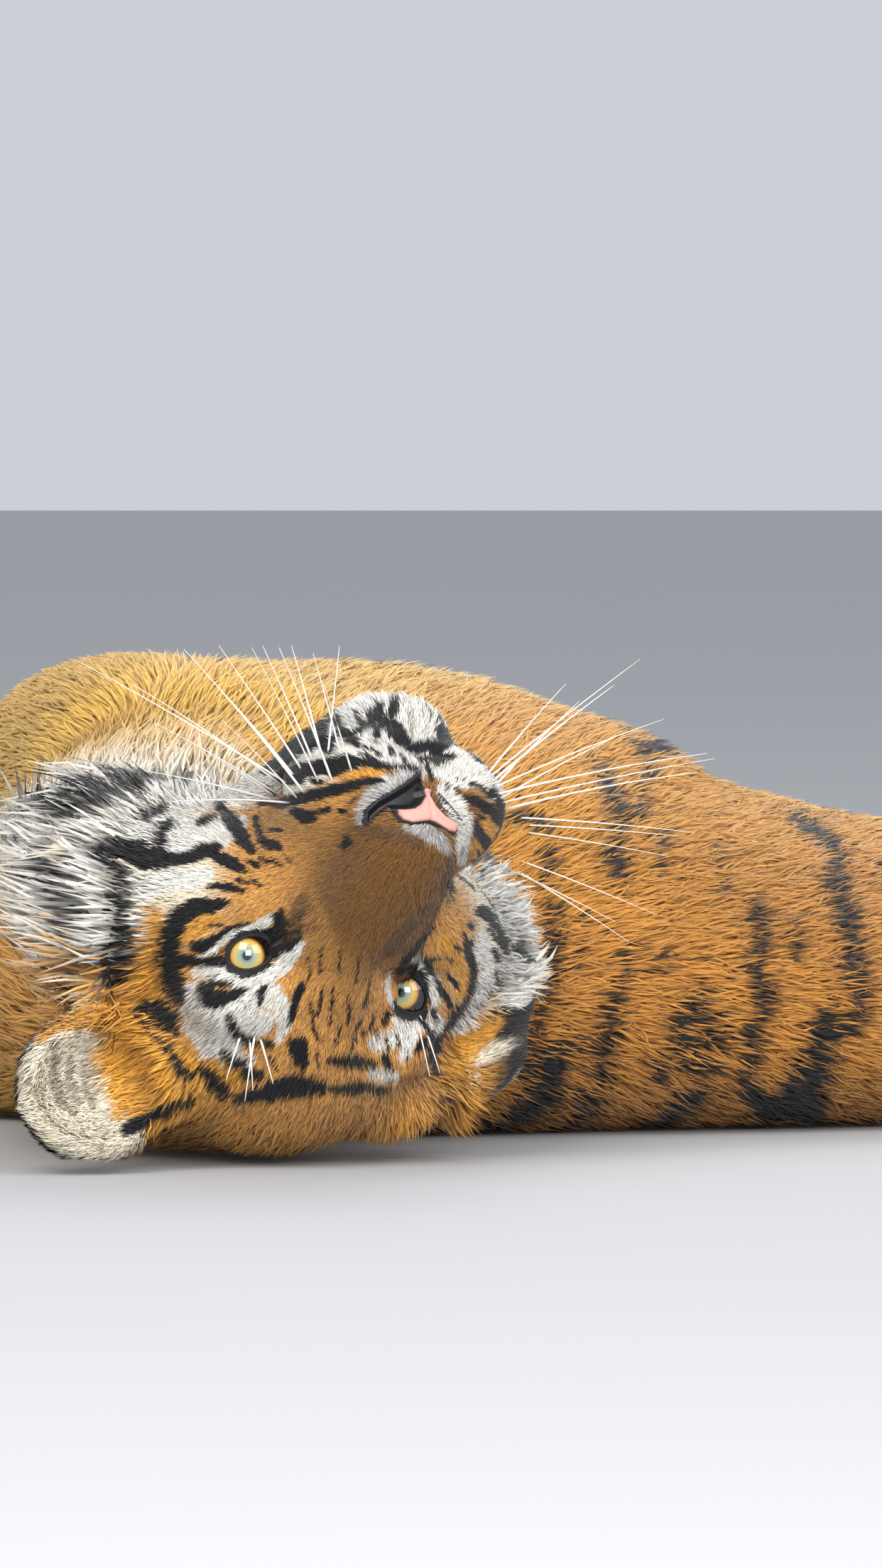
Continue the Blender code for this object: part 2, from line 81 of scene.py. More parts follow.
# Round limbs: centre and radius.
NECK = [
    ((-0.265, -0.410, 0.095), 0.098),
    ((-0.305, -0.355, 0.102), 0.104),
    ((-0.328, -0.295, 0.112), 0.110),
    ((-0.325, -0.220, 0.128), 0.120),
    ((-0.285, -0.150, 0.138), 0.130),
]
TAIL = [
    ((0.780, 0.215, 0.086), 0.072),
    ((0.850, 0.215, 0.070), 0.056),
    ((0.940, 0.190, 0.054), 0.049),
    ((1.060, 0.115, 0.044), 0.046),
    ((1.140, -0.010, 0.041), 0.044),
    ((1.165, -0.160, 0.040), 0.042),
    ((1.140, -0.310, 0.037), 0.040),
    ((1.095, -0.430, 0.030), 0.030),
]
LEGS = {
    "foreleg_right": [
        ((-0.325, -0.110, 0.200), 0.092),
        ((-0.365, 0.000, 0.196), 0.090),
        ((-0.390, 0.110, 0.178), 0.074),
        ((-0.450, 0.205, 0.140), 0.062),
        ((-0.515, 0.300, 0.095), 0.054),
        ((-0.560, 0.385, 0.056), 0.062),
        ((-0.588, 0.450, 0.042), 0.048),
    ],
    "foreleg_left": [
        ((-0.330, -0.080, 0.085), 0.088),
        ((-0.380, -0.015, 0.078), 0.086),
        ((-0.450, 0.030, 0.064), 0.073),
        ((-0.560, 0.050, 0.058), 0.063),
        ((-0.675, 0.060, 0.050), 0.054),
        ((-0.765, 0.085, 0.052), 0.062),
        ((-0.830, 0.110, 0.040), 0.048),
    ],
    "hindleg_right": [
        ((0.620, 0.200, 0.152), 0.122),
        ((0.510, 0.290, 0.162), 0.118),
        ((0.385, 0.390, 0.158), 0.090),
        ((0.440, 0.500, 0.128), 0.070),
        ((0.520, 0.612, 0.090), 0.052),
        ((0.455, 0.700, 0.064), 0.048),
        ((0.390, 0.790, 0.050), 0.057),
        ((0.350, 0.850, 0.040), 0.046),
    ],
    "hindleg_left": [
        ((0.690, 0.240, 0.095), 0.105),
        ((0.730, 0.375, 0.092), 0.104),
        ((0.710, 0.520, 0.076), 0.083),
        ((0.810, 0.600, 0.062), 0.066),
        ((0.910, 0.668, 0.049), 0.052),
        ((0.895, 0.765, 0.046), 0.048),
        ((0.875, 0.860, 0.048), 0.057),
        ((0.858, 0.925, 0.040), 0.046),
    ],
}
# Muscles: centre, radii and turn about the vertical in degrees.
BODY_MASSES = [
    ((-0.295, -0.110, 0.164), (0.132, 0.130, 0.128), 0),
    ((-0.128, -0.040, 0.174), (0.165, 0.125, 0.088), 25),
    ((0.580, 0.240, 0.150), (0.140, 0.130, 0.105), -20),
]
# Paws: the middle, the heading in degrees, half the length, and half the thickness.
PAWS = {
    "foreleg_right": ((-0.592, 0.452, 0.048), 113, 0.064, 0.050),
    "foreleg_left": ((-0.834, 0.113, 0.046), 159, 0.064, 0.049),
    "hindleg_right": ((0.350, 0.850, 0.047), 124, 0.062, 0.049),
    "hindleg_left": ((0.858, 0.924, 0.046), 105, 0.062, 0.049),
}
# Masses of the head, in its own axes: centre, radii, and whether each has a twin.
HEAD_MASSES = [
    ((-0.078, 0.000, 0.000), (0.086, 0.086, 0.076), False),    # cranium
    ((-0.034, 0.000, 0.006), (0.047, 0.070, 0.042), False),    # forehead
    ((-0.025, 0.049, 0.021), (0.038, 0.035, 0.021), True),     # brows
    ((-0.008, 0.054, -0.037), (0.040, 0.038, 0.026), True),    # below the eyes
    ((-0.043, 0.074, -0.049), (0.060, 0.055, 0.056), True),    # cheeks
    ((-0.066, 0.108, -0.062), (0.056, 0.058, 0.079), True),    # ruff
    ((0.070, 0.032, -0.078), (0.046, 0.037, 0.035), True),     # whisker pads
    ((0.066, 0.000, -0.120), (0.038, 0.042, 0.025), False),    # chin
    ((-0.115, 0.000, -0.030), (0.070, 0.088, 0.082), False),   # nape
    ((0.042, 0.034, -0.110), (0.040, 0.024, 0.020), True),     # lips
]
BRIDGE = [
    ((-0.050, 0.0, 0.020), 0.032, 0.052),
    ((0.000, 0.0, 0.002), 0.031, 0.043),
    ((0.050, 0.0, -0.021), 0.029, 0.037),
    ((0.097, 0.0, -0.045), 0.024, 0.031),
]
MUZZLE = [
    ((-0.020, 0.0, -0.052), 0.056, 0.070),
    ((0.040, 0.0, -0.066), 0.046, 0.057),
    ((0.086, 0.0, -0.071), 0.038, 0.050),
]
JAW = [
    ((-0.100, 0.0, -0.082), 0.054, 0.085),
    ((-0.030, 0.0, -0.096), 0.046, 0.068),
    ((0.060, 0.0, -0.114), 0.028, 0.042),
]
HEAD_MIDDLE = (-0.03, 0.0, -0.03)
EYE_CENTRE = Vector((-0.012, 0.053, -0.005))
EYE_RADIUS = 0.0165
# Directions in the head's axes: to the camera, and to the picture's right and top.
TO_CAMERA = (0.735, 0.451, 0.506)
TO_RIGHT = (0.494, -0.869, 0.037)
TO_TOP = (0.420, 0.200, -0.886)
GAZE = {1: Vector(TO_CAMERA), -1: Vector((0.604, 0.633, 0.484))}
# Ears: the root, and where the tip points and the hollow faces.
EARS = {
    "ear_left": (Vector((-0.080, 0.068, 0.038)), Vector((-0.15, 0.90, 0.42)),
                 Vector((1.0, 0.05, 0.2))),
    "ear_right": (Vector((-0.080, -0.080, 0.030)), Vector((0.0, -0.80, -0.60)),
                  Vector((0.3, 0.5, -0.8))),
}
EAR_LENGTH = 0.098
EAR_HALF_WIDTH = 0.046
EAR_THICKNESS = 0.014

# ---- Camera ----------------------------------------------------------------------------------
TARGET = Vector((-0.155, -0.495, 0.223))     # what the middle of the picture looks at
CAMERA_DISTANCE = 7.0
CAMERA_ELEVATION = math.radians(2.0)
CAMERA_LENS = 279.6
CAMERA_PLACE = TARGET + CAMERA_DISTANCE * Vector((0, -math.cos(CAMERA_ELEVATION),
                                                  math.sin(CAMERA_ELEVATION)))
PICTURE_RIGHT = (1, 0, 0)
PICTURE_UP = (0, math.sin(CAMERA_ELEVATION), math.cos(CAMERA_ELEVATION))
VIEW = np.array((TARGET - CAMERA_PLACE).normalized())
PAST_ANIMAL = CAMERA_DISTANCE + 0.5      # how far off a mark is whose ray misses the skin

# ---- Skin and coat ---------------------------------------------------------------------------
VOXEL = 0.005
SMOOTHING = 12
FLOOR_GAP = 0.0015       # the lowest that the skin reaches
# How deep the coat is, from its tips to the skin, on each part.
COAT_DEPTH = {"trunk": 0.014, "neck": 0.016, "tail": 0.012, "foreleg": 0.009, "hindleg": 0.009}
FACE_DEPTH = 0.0025
NAPE_DEPTH = 0.014
RUFF_DEPTH = 0.018
PAW_DEPTH = 0.004
EAR_DEPTH = 0.003
CHIN_DEPTH = 0.0055
# How far the bridge of the nose is drawn in beside the right eye, and over how wide a patch.
BRIDGE_SHIFT = 0.013
BRIDGE_SPREAD = 0.011
SHOULDER = (-0.33, -0.10, 0.24)
# How much the hair of each part turns from its way along it to the belly.
TO_BELLY = {"trunk": 0.55, "neck": 0.40, "tail": 0.05, "foreleg": 0.05, "hindleg": 0.05}

# ---- Marks that the picture shows -------------------------------------------------------------
# Each stroke goes through points of right, up and half width: millimetres from the middle of the
# picture on the plane that the camera looks at, and tenths of a millimetre.
BLACK = {
    "round the left eye": """
        -122 -68 16, -131 -70 42, -143 -71 53, -151 -77 64, -156 -87 64, -157 -98 74, -155 -111 80,
        -152 -119 64, -151 -125 32;
        -151 -101 42, -141 -102 32, -134 -101 21, -129 -101 27, -124 -103 27;
        -142 -94 37, -135 -93 37, -128 -88 21, -121 -83 16, -111 -80 11;
        -100 -92 69, -94 -92 69, -89 -91 58, -83 -88 37;
        -93 -73 16, -92 -79 32, -95 -85 48;
        -102 -100 32, -96 -97 42;
        -122 -93 21, -116 -88 27, -109 -86 27, -101 -87 37;
        -127 -101 21, -121 -106 27, -113 -109 27, -106 -107 27, -99 -102 27;
        -135 -82 12, -126 -81 12;
        -96 -75 12, -94 -80 29, -92 -86 45, -89 -90 49, -83 -87 29;
        -100 -89 57, -93 -92 53, -98 -96 33;
        -144 -100 20, -135 -102 29, -123 -103 29""",
    "between the left eye and the crown": """
        -134 -120 61, -133 -124 61, -126 -122 61, -120 -121 42, -113 -118 19;
        -131 -115 28, -122 -115 19;
        -101 -116 19, -104 -121 28, -104 -127 14;
        -80 -116 24, -84 -125 28, -86 -134 24, -87 -138 14;
        -122 -134 19, -120 -139 28, -117 -144 33, -111 -148 33, -104 -149 24, -98 -150 28;
        -126 -155 24, -121 -160 33, -114 -162 38, -111 -167 51, -106 -168 38;
        -85 -149 38, -83 -154 51, -80 -161 42, -80 -149 38;
        -137 -165 42, -131 -171 56, -125 -178 47;
        -151 -162 33, -148 -167 42, -146 -170 28;
        -170 -128 42, -162 -132 75, -156 -137 70, -154 -142 33;
        -176 -131 24, -170 -139 24, -164 -146 19, -157 -153 24, -151 -161 24;
        -117 -182 33, -100 -178 56, -90 -175 70, -80 -174 70, -70 -175 51;
        -64 -159 28, -53 -160 42, -44 -160 42, -39 -161 28;
        -62 -176 28, -49 -175 42, -36 -176 28;
        -69 -96 9, -70 -109 9;
        -62 -118 9, -63 -129 14, -64 -139 9;
        -53 -121 9, -53 -137 14;
        -46 -136 14, -49 -142 14;
        -75 -125 9, -73 -141 14, -69 -149 9;
        -30 -131 19, -33 -137 24;
        -58 -96 8, -59 -109 12;
        -47 -100 8, -49 -115 8;
        -41 -115 8, -44 -129 12;
        -68 -119 12, -71 -133 12;
        -38 -133 12, -41 -142 12;
        -58 -140 12, -60 -149 12;
        -76 -100 8, -76 -113 8;
        -49 -146 12, -51 -153 12;
        -135 -119 61, -127 -121 53;
        -98 -158 14, -95 -164 14;
        -72 -156 14, -70 -162 14;
        -143 -183 33, -153 -186 38, -166 -192 42, -180 -198 42""",
    "left cheek": """
        -227 -42 33, -222 -51 61, -221 -60 80, -219 -70 89, -217 -80 84, -216 -90 70, -214 -98 51,
        -213 -106 28;
        -184 -51 38, -186 -60 61, -187 -72 75, -187 -84 84, -186 -96 89, -187 -105 84, -190 -113 56;
        -198 -40 51, -190 -38 75, -182 -38 80, -172 -41 84, -163 -43 66, -153 -44 38, -145 -42 42,
        -137 -39 51, -129 -37 38;
        -163 -41 42, -162 -33 42, -160 -25 38, -155 -22 33;
        -192 -48 28, -184 -48 28;
        -131 -40 28, -124 -44 42, -117 -47 38, -113 -50 19;
        -174 -18 24, -167 -16 33, -159 -13 24;
        -139 -22 24, -135 -20 33, -130 -18 19;
        -127 -13 38, -122 -19 42, -118 -25 47, -114 -32 42, -109 -38 28;
        -133 -59 19, -121 -59 28, -114 -62 19;
        -107 -19 19, -105 -27 24, -101 -34 33, -93 -36 24;
        -111 -44 14, -106 -47 19;
        -104 -42 14, -100 -45 19;
        -97 -44 14, -93 -47 14;
        -117 -55 14, -111 -57 14;
        -98 -26 14, -92 -27 14;
        -90 -41 9, -87 -45 14;
        -108 -55 14, -104 -58 14""",
    "left ruff": """
        -241 18 36, -235 9 54, -234 2 54;
        -221 -19 54, -211 -9 94, -200 -3 103, -190 -2 94, -179 2 81, -170 4 67, -160 8 49;
        -215 6 27, -209 0 40;
        -192 17 27, -186 8 40;
        -176 20 31, -172 12 40;
        -162 21 40, -156 16 72, -149 10 67, -142 9 40;
        -156 31 27, -153 22 40;
        -137 30 22, -133 20 31, -131 15 22;
        -229 -4 45, -224 -13 45""",
    "mouth and chin": """
        -9 16 12, -7 9 16, -5 2 16;
        -79 41 29, -74 31 49, -65 22 49;
        -62 42 24, -57 30 37, -49 24 29;
        -88 30 33, -80 38 33;
        -49 42 16, -46 34 20;
        -102 15 33, -93 18 61, -86 24 61, -80 33 42;
        -84 22 56, -74 25 61, -70 35 42, -71 42 28;
        -68 23 38, -65 36 33, -65 42 24;
        -62 26 28, -58 34 19;
        -92 4 47, -80 6 66, -66 9 61, -53 13 51, -43 14 42, -36 11 28, -25 10 19, -15 9 19;
        -102 8 28, -94 12 38, -88 16 47;
        -49 30 28, -41 35 28, -40 41 33;
        -37 28 28, -35 36 28, -36 45 33;
        -31 36 47, -27 31 70, -22 26 51, -17 21 33;
        -28 41 33, -25 47 24;
        -17 22 28, -9 20 56, -2 20 66, 3 25 47, 0 31 38;
        -10 15 28, -2 14 38, 6 16 24""",
    "left whisker pad": """
        -49 23 16, -44 21 16;
        -40 20 16, -35 17 16;
        -46 18 12, -41 16 12;
        -30 21 12, -28 17 16;
        -23 16 12, -20 12 12;
        -39 25 12, -36 24 12;
        -55 25 16, -51 24 16;
        -25 10 12, -18 9 12;
        -92 -11 33, -80 -8 37, -70 -5 37, -60 -3 37, -49 0 33, -41 2 24, -34 2 16;
        -104 -11 16, -98 -11 24, -90 -12 24;
        -85 -16 29, -80 -18 41, -75 -19 37;
        -70 -16 20, -65 -15 20;
        -58 -16 20, -56 -16 16;
        -53 -11 12, -50 -9 12;
        -54 -31 20, -55 -35 29, -53 -33 24;
        -100 -2 16, -96 -6 16;
        -74 2 20, -69 1 20""",
    "right whisker pad": """
        14 -7 16, 19 -10 29, 27 -14 37, 34 -18 37;
        18 0 16, 24 -3 20, 29 -7 20;
        30 -4 24, 34 -11 33, 36 -15 24;
        32 -18 37, 36 -24 41, 37 -28 29;
        20 -22 20, 22 -28 33, 26 -34 37, 29 -40 33, 31 -45 20;
        3 -1 12, 4 -2 12;
        9 -3 16, 10 -4 16;
        8 2 8, 9 2 8;
        13 3 8, 14 3 8;
        22 -19 12, 24 -20 12;
        21 -39 12, 22 -40 12;
        18 -43 12, 18 -44 12;
        24 -51 20, 28 -48 16;
        27 8 20, 32 5 16""",
    "round the right eye": """
        -24 -108 29, -20 -101 24, -15 -96 20, -10 -89 16, -4 -83 8;
        -19 -105 20, -13 -109 24, -10 -114 24, -9 -121 24, -12 -127 29, -14 -130 24;
        -12 -128 16, -7 -127 12;
        -25 -125 12, -20 -129 12, -16 -131 16;
        -8 -105 24, -4 -109 24;
        -9 -102 20, -2 -101 16;
        14 -92 16, 17 -100 29, 19 -108 24, 18 -117 24, 16 -123 20, 13 -129 20;
        13 -87 16, 17 -92 24;
        9 -93 12, 11 -96 12;
        4 -100 12, 6 -103 12;
        4 -109 12, 8 -114 20, 11 -119 12;
        -3 -112 16, 0 -118 24, 4 -125 24, 6 -128 20;
        12 -129 33, 8 -134 41, 5 -139 24;
        -12 -136 12, -8 -140 24, -6 -146 33, -10 -150 41, -13 -153 24;
        4 -140 16, 1 -146 16;
        -4 -150 20, -1 -155 16;
        -32 -156 20, -31 -162 29, -28 -164 20;
        -45 -160 33, -40 -160 24;
        -20 -157 12, -19 -159 12;
        -5 -158 29, -2 -165 24;
        -37 -142 12, -36 -145 12;
        -45 -144 16, -43 -143 12;
        -31 -146 12, -30 -151 12;
        -25 -146 12, -24 -151 12;
        -31 -176 24, -41 -175 33""",
    "right cheek and ruff": """
        23 -73 37, 28 -76 37, 31 -82 24;
        28 -84 16, 32 -89 20;
        31 -96 20, 33 -101 20;
        32 -109 16, 34 -114 16;
        16 -80 16, 18 -83 16""",
}
BLACK_ON_BODY = """
    38 -19 24, 51 -18 37, 62 -23 29;
    61 -39 29, 63 -45 45, 60 -52 33;
    62 -62 33, 65 -72 49, 66 -84 49, 66 -96 49, 64 -109 57, 62 -121 57, 58 -131 57, 56 -141 49, 51
    -158 49, 47 -168 61;
    75 -153 29, 73 -162 41, 70 -172 33;
    90 12 24, 97 0 41, 101 -11 53, 102 -23 61, 102 -35 57, 101 -45 57, 103 -55 53, 105 -60 29;
    111 -94 29, 106 -109 45, 102 -119 57, 100 -129 65, 96 -141 65, 93 -153 78, 91 -166 78;
    136 28 33, 128 22 49, 120 21 41, 116 18 29;
    106 30 20, 112 24 29;
    119 8 33, 115 -4 33, 116 -15 16;
    128 -27 16, 129 -39 24, 128 -51 16;
    181 -62 37, 183 -76 45, 184 -88 45, 183 -100 45, 185 -113 53, 187 -125 61, 181 -141 65, 179 -158
    65, 175 -174 69, 185 -186 57;
    155 -100 20, 151 -113 33, 149 -129 41, 153 -141 45, 149 -162 53, 155 -174 41;
    202 -19 33, 210 -23 49, 220 -28 49, 226 -39 53, 228 -56 61, 232 -72 65, 236 -84 69, 238 -100 69,
    240 -117 65, 242 -129 53, 236 -141 53;
    224 -121 45, 222 -137 57, 220 -153 78, 216 -166 106, 208 -178 106, 212 -194 106, 204 -202 82;
    124 -158 37, 128 -170 45;
    81 -76 16, 82 -92 24, 79 -104 16;
    130 -76 16, 129 -92 20, 126 -109 16;
    159 -31 16, 163 -47 20, 164 -60 16;
    204 -76 16, 206 -96 24, 204 -113 16;
    138 -129 24, 136 -145 29, 140 -162 24"""
WHITE = {
    "round the left eye": """
        -137 -99 20, -132 -95 29, -126 -90 29, -119 -86 29, -110 -83 29, -102 -81 33, -98 -77 29;
        -138 -108 49, -127 -109 49, -117 -113 57, -104 -113 53, -93 -106 53, -85 -97 45, -80 -92 24;
        -143 -118 49, -144 -129 65, -139 -141 90, -131 -151 98, -119 -158 73, -111 -161 45;
        -131 -135 82, -119 -131 90, -109 -124 90, -98 -121 73, -92 -129 53, -90 -139 45, -93 -146
        29;
        -124 -146 73, -111 -141 82, -101 -137 65""",
    "left cheek": """
        -208 -23 106, -205 -47 114, -202 -68 98, -202 -84 82, -204 -100 57;
        -192 -25 131, -172 -27 122, -147 -31 122, -131 -29 106, -117 -23 57;
        -174 -60 82, -160 -56 65, -145 -55 57, -135 -52 41;
        -184 -13 98, -164 -9 106, -143 -6 106, -127 -3 90, -113 0 57, -100 -9 41;
        -174 -76 49, -173 -92 49""",
    "left ruff": """
        -229 -15 131, -209 6 139, -184 18 122, -156 26 114, -123 34 90, -102 38 57;
        -237 -31 139, -237 -56 122, -237 -76 98, -233 -96 57""",
    "whisker pads": """
        -58 22 33, -45 21 49, -31 16 57, -19 11 53, -12 6 37;
        -33 2 37, -25 2 33, -15 4 33;
        -4 8 37, 8 5 73, 19 2 49;
        -1 11 33, -3 15 29;
        -13 16 29, -12 11 24;
        2 -4 49, 9 -13 61, 14 -24 49, 13 -37 37, 12 -45 24;
        28 -2 33, 32 -9 24;
        -49 38 90, -62 38 82, -13 42 106, 0 38 73, -25 49 82;
        -115 -7 49, -107 -2 49, -96 0 41;
        -119 12 57, -109 22 57, -100 30 49""",
    "round the right eye": """
        -16 -100 24, -10 -108 33, -5 -117 33, -3 -124 33;
        -29 -109 16, -31 -116 20, -29 -123 20, -25 -131 20;
        -24 -136 49, -19 -139 65, -9 -136 57, 0 -140 53, -13 -131 33;
        -13 -100 24, -7 -108 33, -4 -117 33, -4 -126 33;
        -37 -149 49, -25 -146 57, -17 -143 49, -21 -156 41;
        -39 -167 33, -27 -169 33;
        21 -94 24, 23 -104 24""",
    "right cheek and ruff": """
        30 -58 49, 47 -60 65, 49 -80 106, 48 -100 114, 44 -119 98;
        24 -88 41, 28 -104 57, 26 -121 57, 18 -132 41;
        8 -141 41, 16 -137 41""",
}
GREY = {
    "wing of the left nostril": """
        -47 -22 20, -46 -15 33, -41 -7 45, -33 -2 53, -24 2 49, -16 6 37, -10 10 20""",
    "edge of the nose": """
        -19 -25 33, -9 -27 45, -1 -32 49, 4 -37 29""",
}
ORANGE = {
    "left cheek": """
        -166 -76 57, -167 -94 73, -170 -113 82, -166 -123 33;
        -204 -109 49, -207 -115 57;
        -143 -80 49, -131 -77 49, -147 -88 41;
        -147 -149 33, -141 -162 57, -131 -164 57, -119 -171 49""",
    "side of the muzzle": """
        -62 6 29, -49 7 33, -35 7 24;
        26 -23 24, 29 -30 24;
        19 -35 29, 21 -45 33""",
    "round the right eye": """
        4 -92 41, 10 -100 41, 13 -111 41, 12 -121 33;
        32 -137 49, 20 -149 57, 8 -162 57, 0 -170 49""",
    "left ear": """
        -227 -143 33, -216 -136 45, -204 -134 61, -192 -139 78, -186 -151 82, -182 -164 82, -182
        -178 65, -186 -190 37;
        -176 -147 98, -166 -162 90, -159 -174 57""",
}
SHADE = {
    "hollow of the left ear": """
        -221 -157 24, -222 -170 31, -218 -182 31, -211 -189 24;
        -213 -158 18, -213 -172 31, -208 -183 24;
        -206 -159 18, -204 -174 24, -200 -184 24;
        -199 -164 18, -196 -176 18""",
    "bridge of the nose": """
        -49 -25 20, -37 -28 37, -25 -30 49, -13 -34 41;
        -86 -92 24, -84 -80 41, -80 -68 49;
        -30 -96 41, -25 -89 41, -17 -80 37, -7 -72 33;
        4 -45 24, 4 -56 33, 2 -64 24""",
}


# ---- Shapes ----------------------------------------------------------------------------------
def unit_ball(segments=32):
    """A ball of radius 1 as a mesh."""
    bm = bmesh.new()
    bmesh.ops.create_uvsphere(bm, u_segments=segments, v_segments=segments // 2, radius=1.0)
    return to_mesh(bm, "ball")


def add_ellipsoid(bm, place, radii):
    """A ball stretched to three radii, put in place by a matrix."""
    if "ball" not in bpy.data.meshes:
        unit_ball()
    mesh = bpy.data.meshes["ball"].copy()
    mesh.transform(place @ Matrix.Diagonal((*radii, 1.0)))
    bm.from_mesh(mesh)
    bpy.data.meshes.remove(mesh)


def catmull_rom(before, start, end, after, t):
    """A point on the smooth curve from start to end."""
    return 0.5 * ((2 * start) + (end - before) * t
                  + (2 * before - 5 * start + 4 * end - after) * t ** 2
                  + (3 * start - before - 3 * end + after) * t ** 3)


def smooth_stations(stations, rings_per_span):
    """Adds stations between the given ones, along a smooth curve."""
    dense = []
    last = len(stations) - 1
    for i in range(last):
        four = [stations[max(i - 1, 0)], stations[i], stations[i + 1], stations[min(i + 2, last)]]
        for step in range(rings_per_span):
            t = step / rings_per_span
            dense.append(tuple(catmull_rom(*(s[k] for s in four), t) for k in range(4)))
    dense.append(stations[last])
    return dense


def ahead_of(stations, i):
    """The direction of a line of stations at one of them."""
    last = len(stations) - 1
    return (stations[min(i + 1, last)][0] - stations[max(i - 1, 0)][0]).normalized()


def add_tube(bm, stations, sides=28, rings_per_span=6):
    """A closed tube of elliptical rings through the stations, with rounded ends."""
    dense = smooth_stations(stations, rings_per_span)
    rings = []
    for i, (centre, half_up, half_side, up) in enumerate(dense):
        ahead = ahead_of(dense, i)
        side = ahead.cross(up).normalized()
        true_up = side.cross(ahead)
        ring = []
        for k in range(sides):
            angle = 2 * math.pi * k / sides
            offset = side * (half_side * math.cos(angle)) + true_up * (half_up * math.sin(angle))
            ring.append(bm.verts.new(centre + offset))
        rings.append(ring)
        if i in (0, len(dense) - 1):
            frame_of_end = Matrix((ahead, side, true_up)).transposed().to_4x4()
            end_radii = (0.6 * min(half_up, half_side), half_side * 0.995, half_up * 0.995)
            add_ellipsoid(bm, Matrix.Translation(centre) @ frame_of_end, end_radii)
    for one, other in zip(rings, rings[1:]):
        for k in range(sides):
            following = (k + 1) % sides
            bm.faces.new((one[following], one[k], other[k], other[following]))
    bm.faces.new(rings[0])
    bm.faces.new(list(reversed(rings[-1])))


def trunk_stations():
    """The trunk's stations with the back's direction."""
    centres = [(Vector(centre),) for centre, *_ in TRUNK]
    stations = []
    for i, (_, half_depth, half_width, roll) in enumerate(TRUNK):
        ahead = ahead_of(centres, i)
        level_back = Vector((ahead.y, -ahead.x, 0.0)).normalized()
        angle = math.radians(roll)
        back = level_back * math.cos(angle) - Vector((0, 0, 1)) * math.sin(angle)
        stations.append((*centres[i], half_depth, half_width, back))
    return stations


def limb_stations(stations, up=(0, 0, 1)):
    """Round stations, with the direction that counts as up."""
    return [(Vector(centre), radius, radius, Vector(up)) for centre, radius in stations]


def head_stations(stations):
    """Stations given in the head's own axes, put where the head is."""
    up = HEAD.to_3x3() @ Vector((0, 0, 1))
    return [(HEAD @ Vector(centre), half_height, half_width, up)
            for centre, half_height, half_width in stations]


def ear_frame(name):
    """The ear's own axes: along to its tip, across, and out of its hollow."""
    root, pointing, facing = EARS[name]
    along = pointing.normalized()
    across = facing.cross(along).normalized()
    out = along.cross(across)
    return Matrix.Translation(root) @ Matrix((along, across, out)).transposed().to_4x4()


def add_ear(bm, name):
    """A round, hollow ear."""
    shapes = []
    for along, out, radii in (
            (0.52, 0.0, (0.50 * EAR_LENGTH, EAR_HALF_WIDTH, 0.024)),
            (0.10, 0.0, (0.45 * EAR_LENGTH, 0.8 * EAR_HALF_WIDTH, 0.028)),
            (0.56, 0.018, (0.40 * EAR_LENGTH, EAR_HALF_WIDTH - EAR_THICKNESS, 0.024))):
        part = bmesh.new()
        place = Matrix.Translation((along * EAR_LENGTH, 0, out))
        add_ellipsoid(part, HEAD @ ear_frame(name) @ place, radii)
        shapes.append(new_object("ear_shape", to_mesh(part, "ear_shape")))
    cup, root, hollow = shapes
    for cutter, operation in ((root, "UNION"), (hollow, "DIFFERENCE")):
        modifier = cup.modifiers.new(operation, "BOOLEAN")
        modifier.operation = operation
        modifier.object = cutter
        apply_modifiers(cup)
    bm.from_mesh(cup.data)
    for shape in shapes:
        bpy.data.objects.remove(shape)


# ---- Meshes and arrays -----------------------------------------------------------------------
def to_mesh(bm, name):
    """The bmesh as a mesh."""
    mesh = bpy.data.meshes.new(name)
    bm.to_mesh(mesh)
    bm.free()
    return mesh


def new_object(name, mesh):
    """An object of that mesh in the scene."""
    thing = bpy.data.objects.new(name, mesh)
    bpy.context.scene.collection.objects.link(thing)
    return thing


def apply_modifiers(thing):
    """Replaces an object's mesh by what its modifiers make of it."""
    graph = bpy.context.evaluated_depsgraph_get()
    graph.update()
    old = thing.data
    thing.data = bpy.data.meshes.new_from_object(thing.evaluated_get(graph))
    thing.modifiers.clear()
    bpy.data.meshes.remove(old)


def read_array(collection, attribute, width, kind=np.float64):
    """One attribute of every element of a mesh collection, one row for each."""
    flat = np.empty(len(collection) * width, dtype=kind)
    collection.foreach_get(attribute, flat)
    return flat.reshape(-1, width) if width > 1 else flat


def put_vertices(mesh, places):
    """Puts a mesh's vertices in their new places."""
    mesh.vertices.foreach_set("co", places.ravel())
    mesh.update()


def set_tint(mesh, colours):
    """Gives a mesh its colour for each vertex."""
    channels = np.concatenate([colours, np.ones((len(colours), 1))], axis=1)
    tint = mesh.color_attributes.new("tint", "FLOAT_COLOR", "POINT")
    tint.data.foreach_set("color", channels.astype(np.float32).ravel())


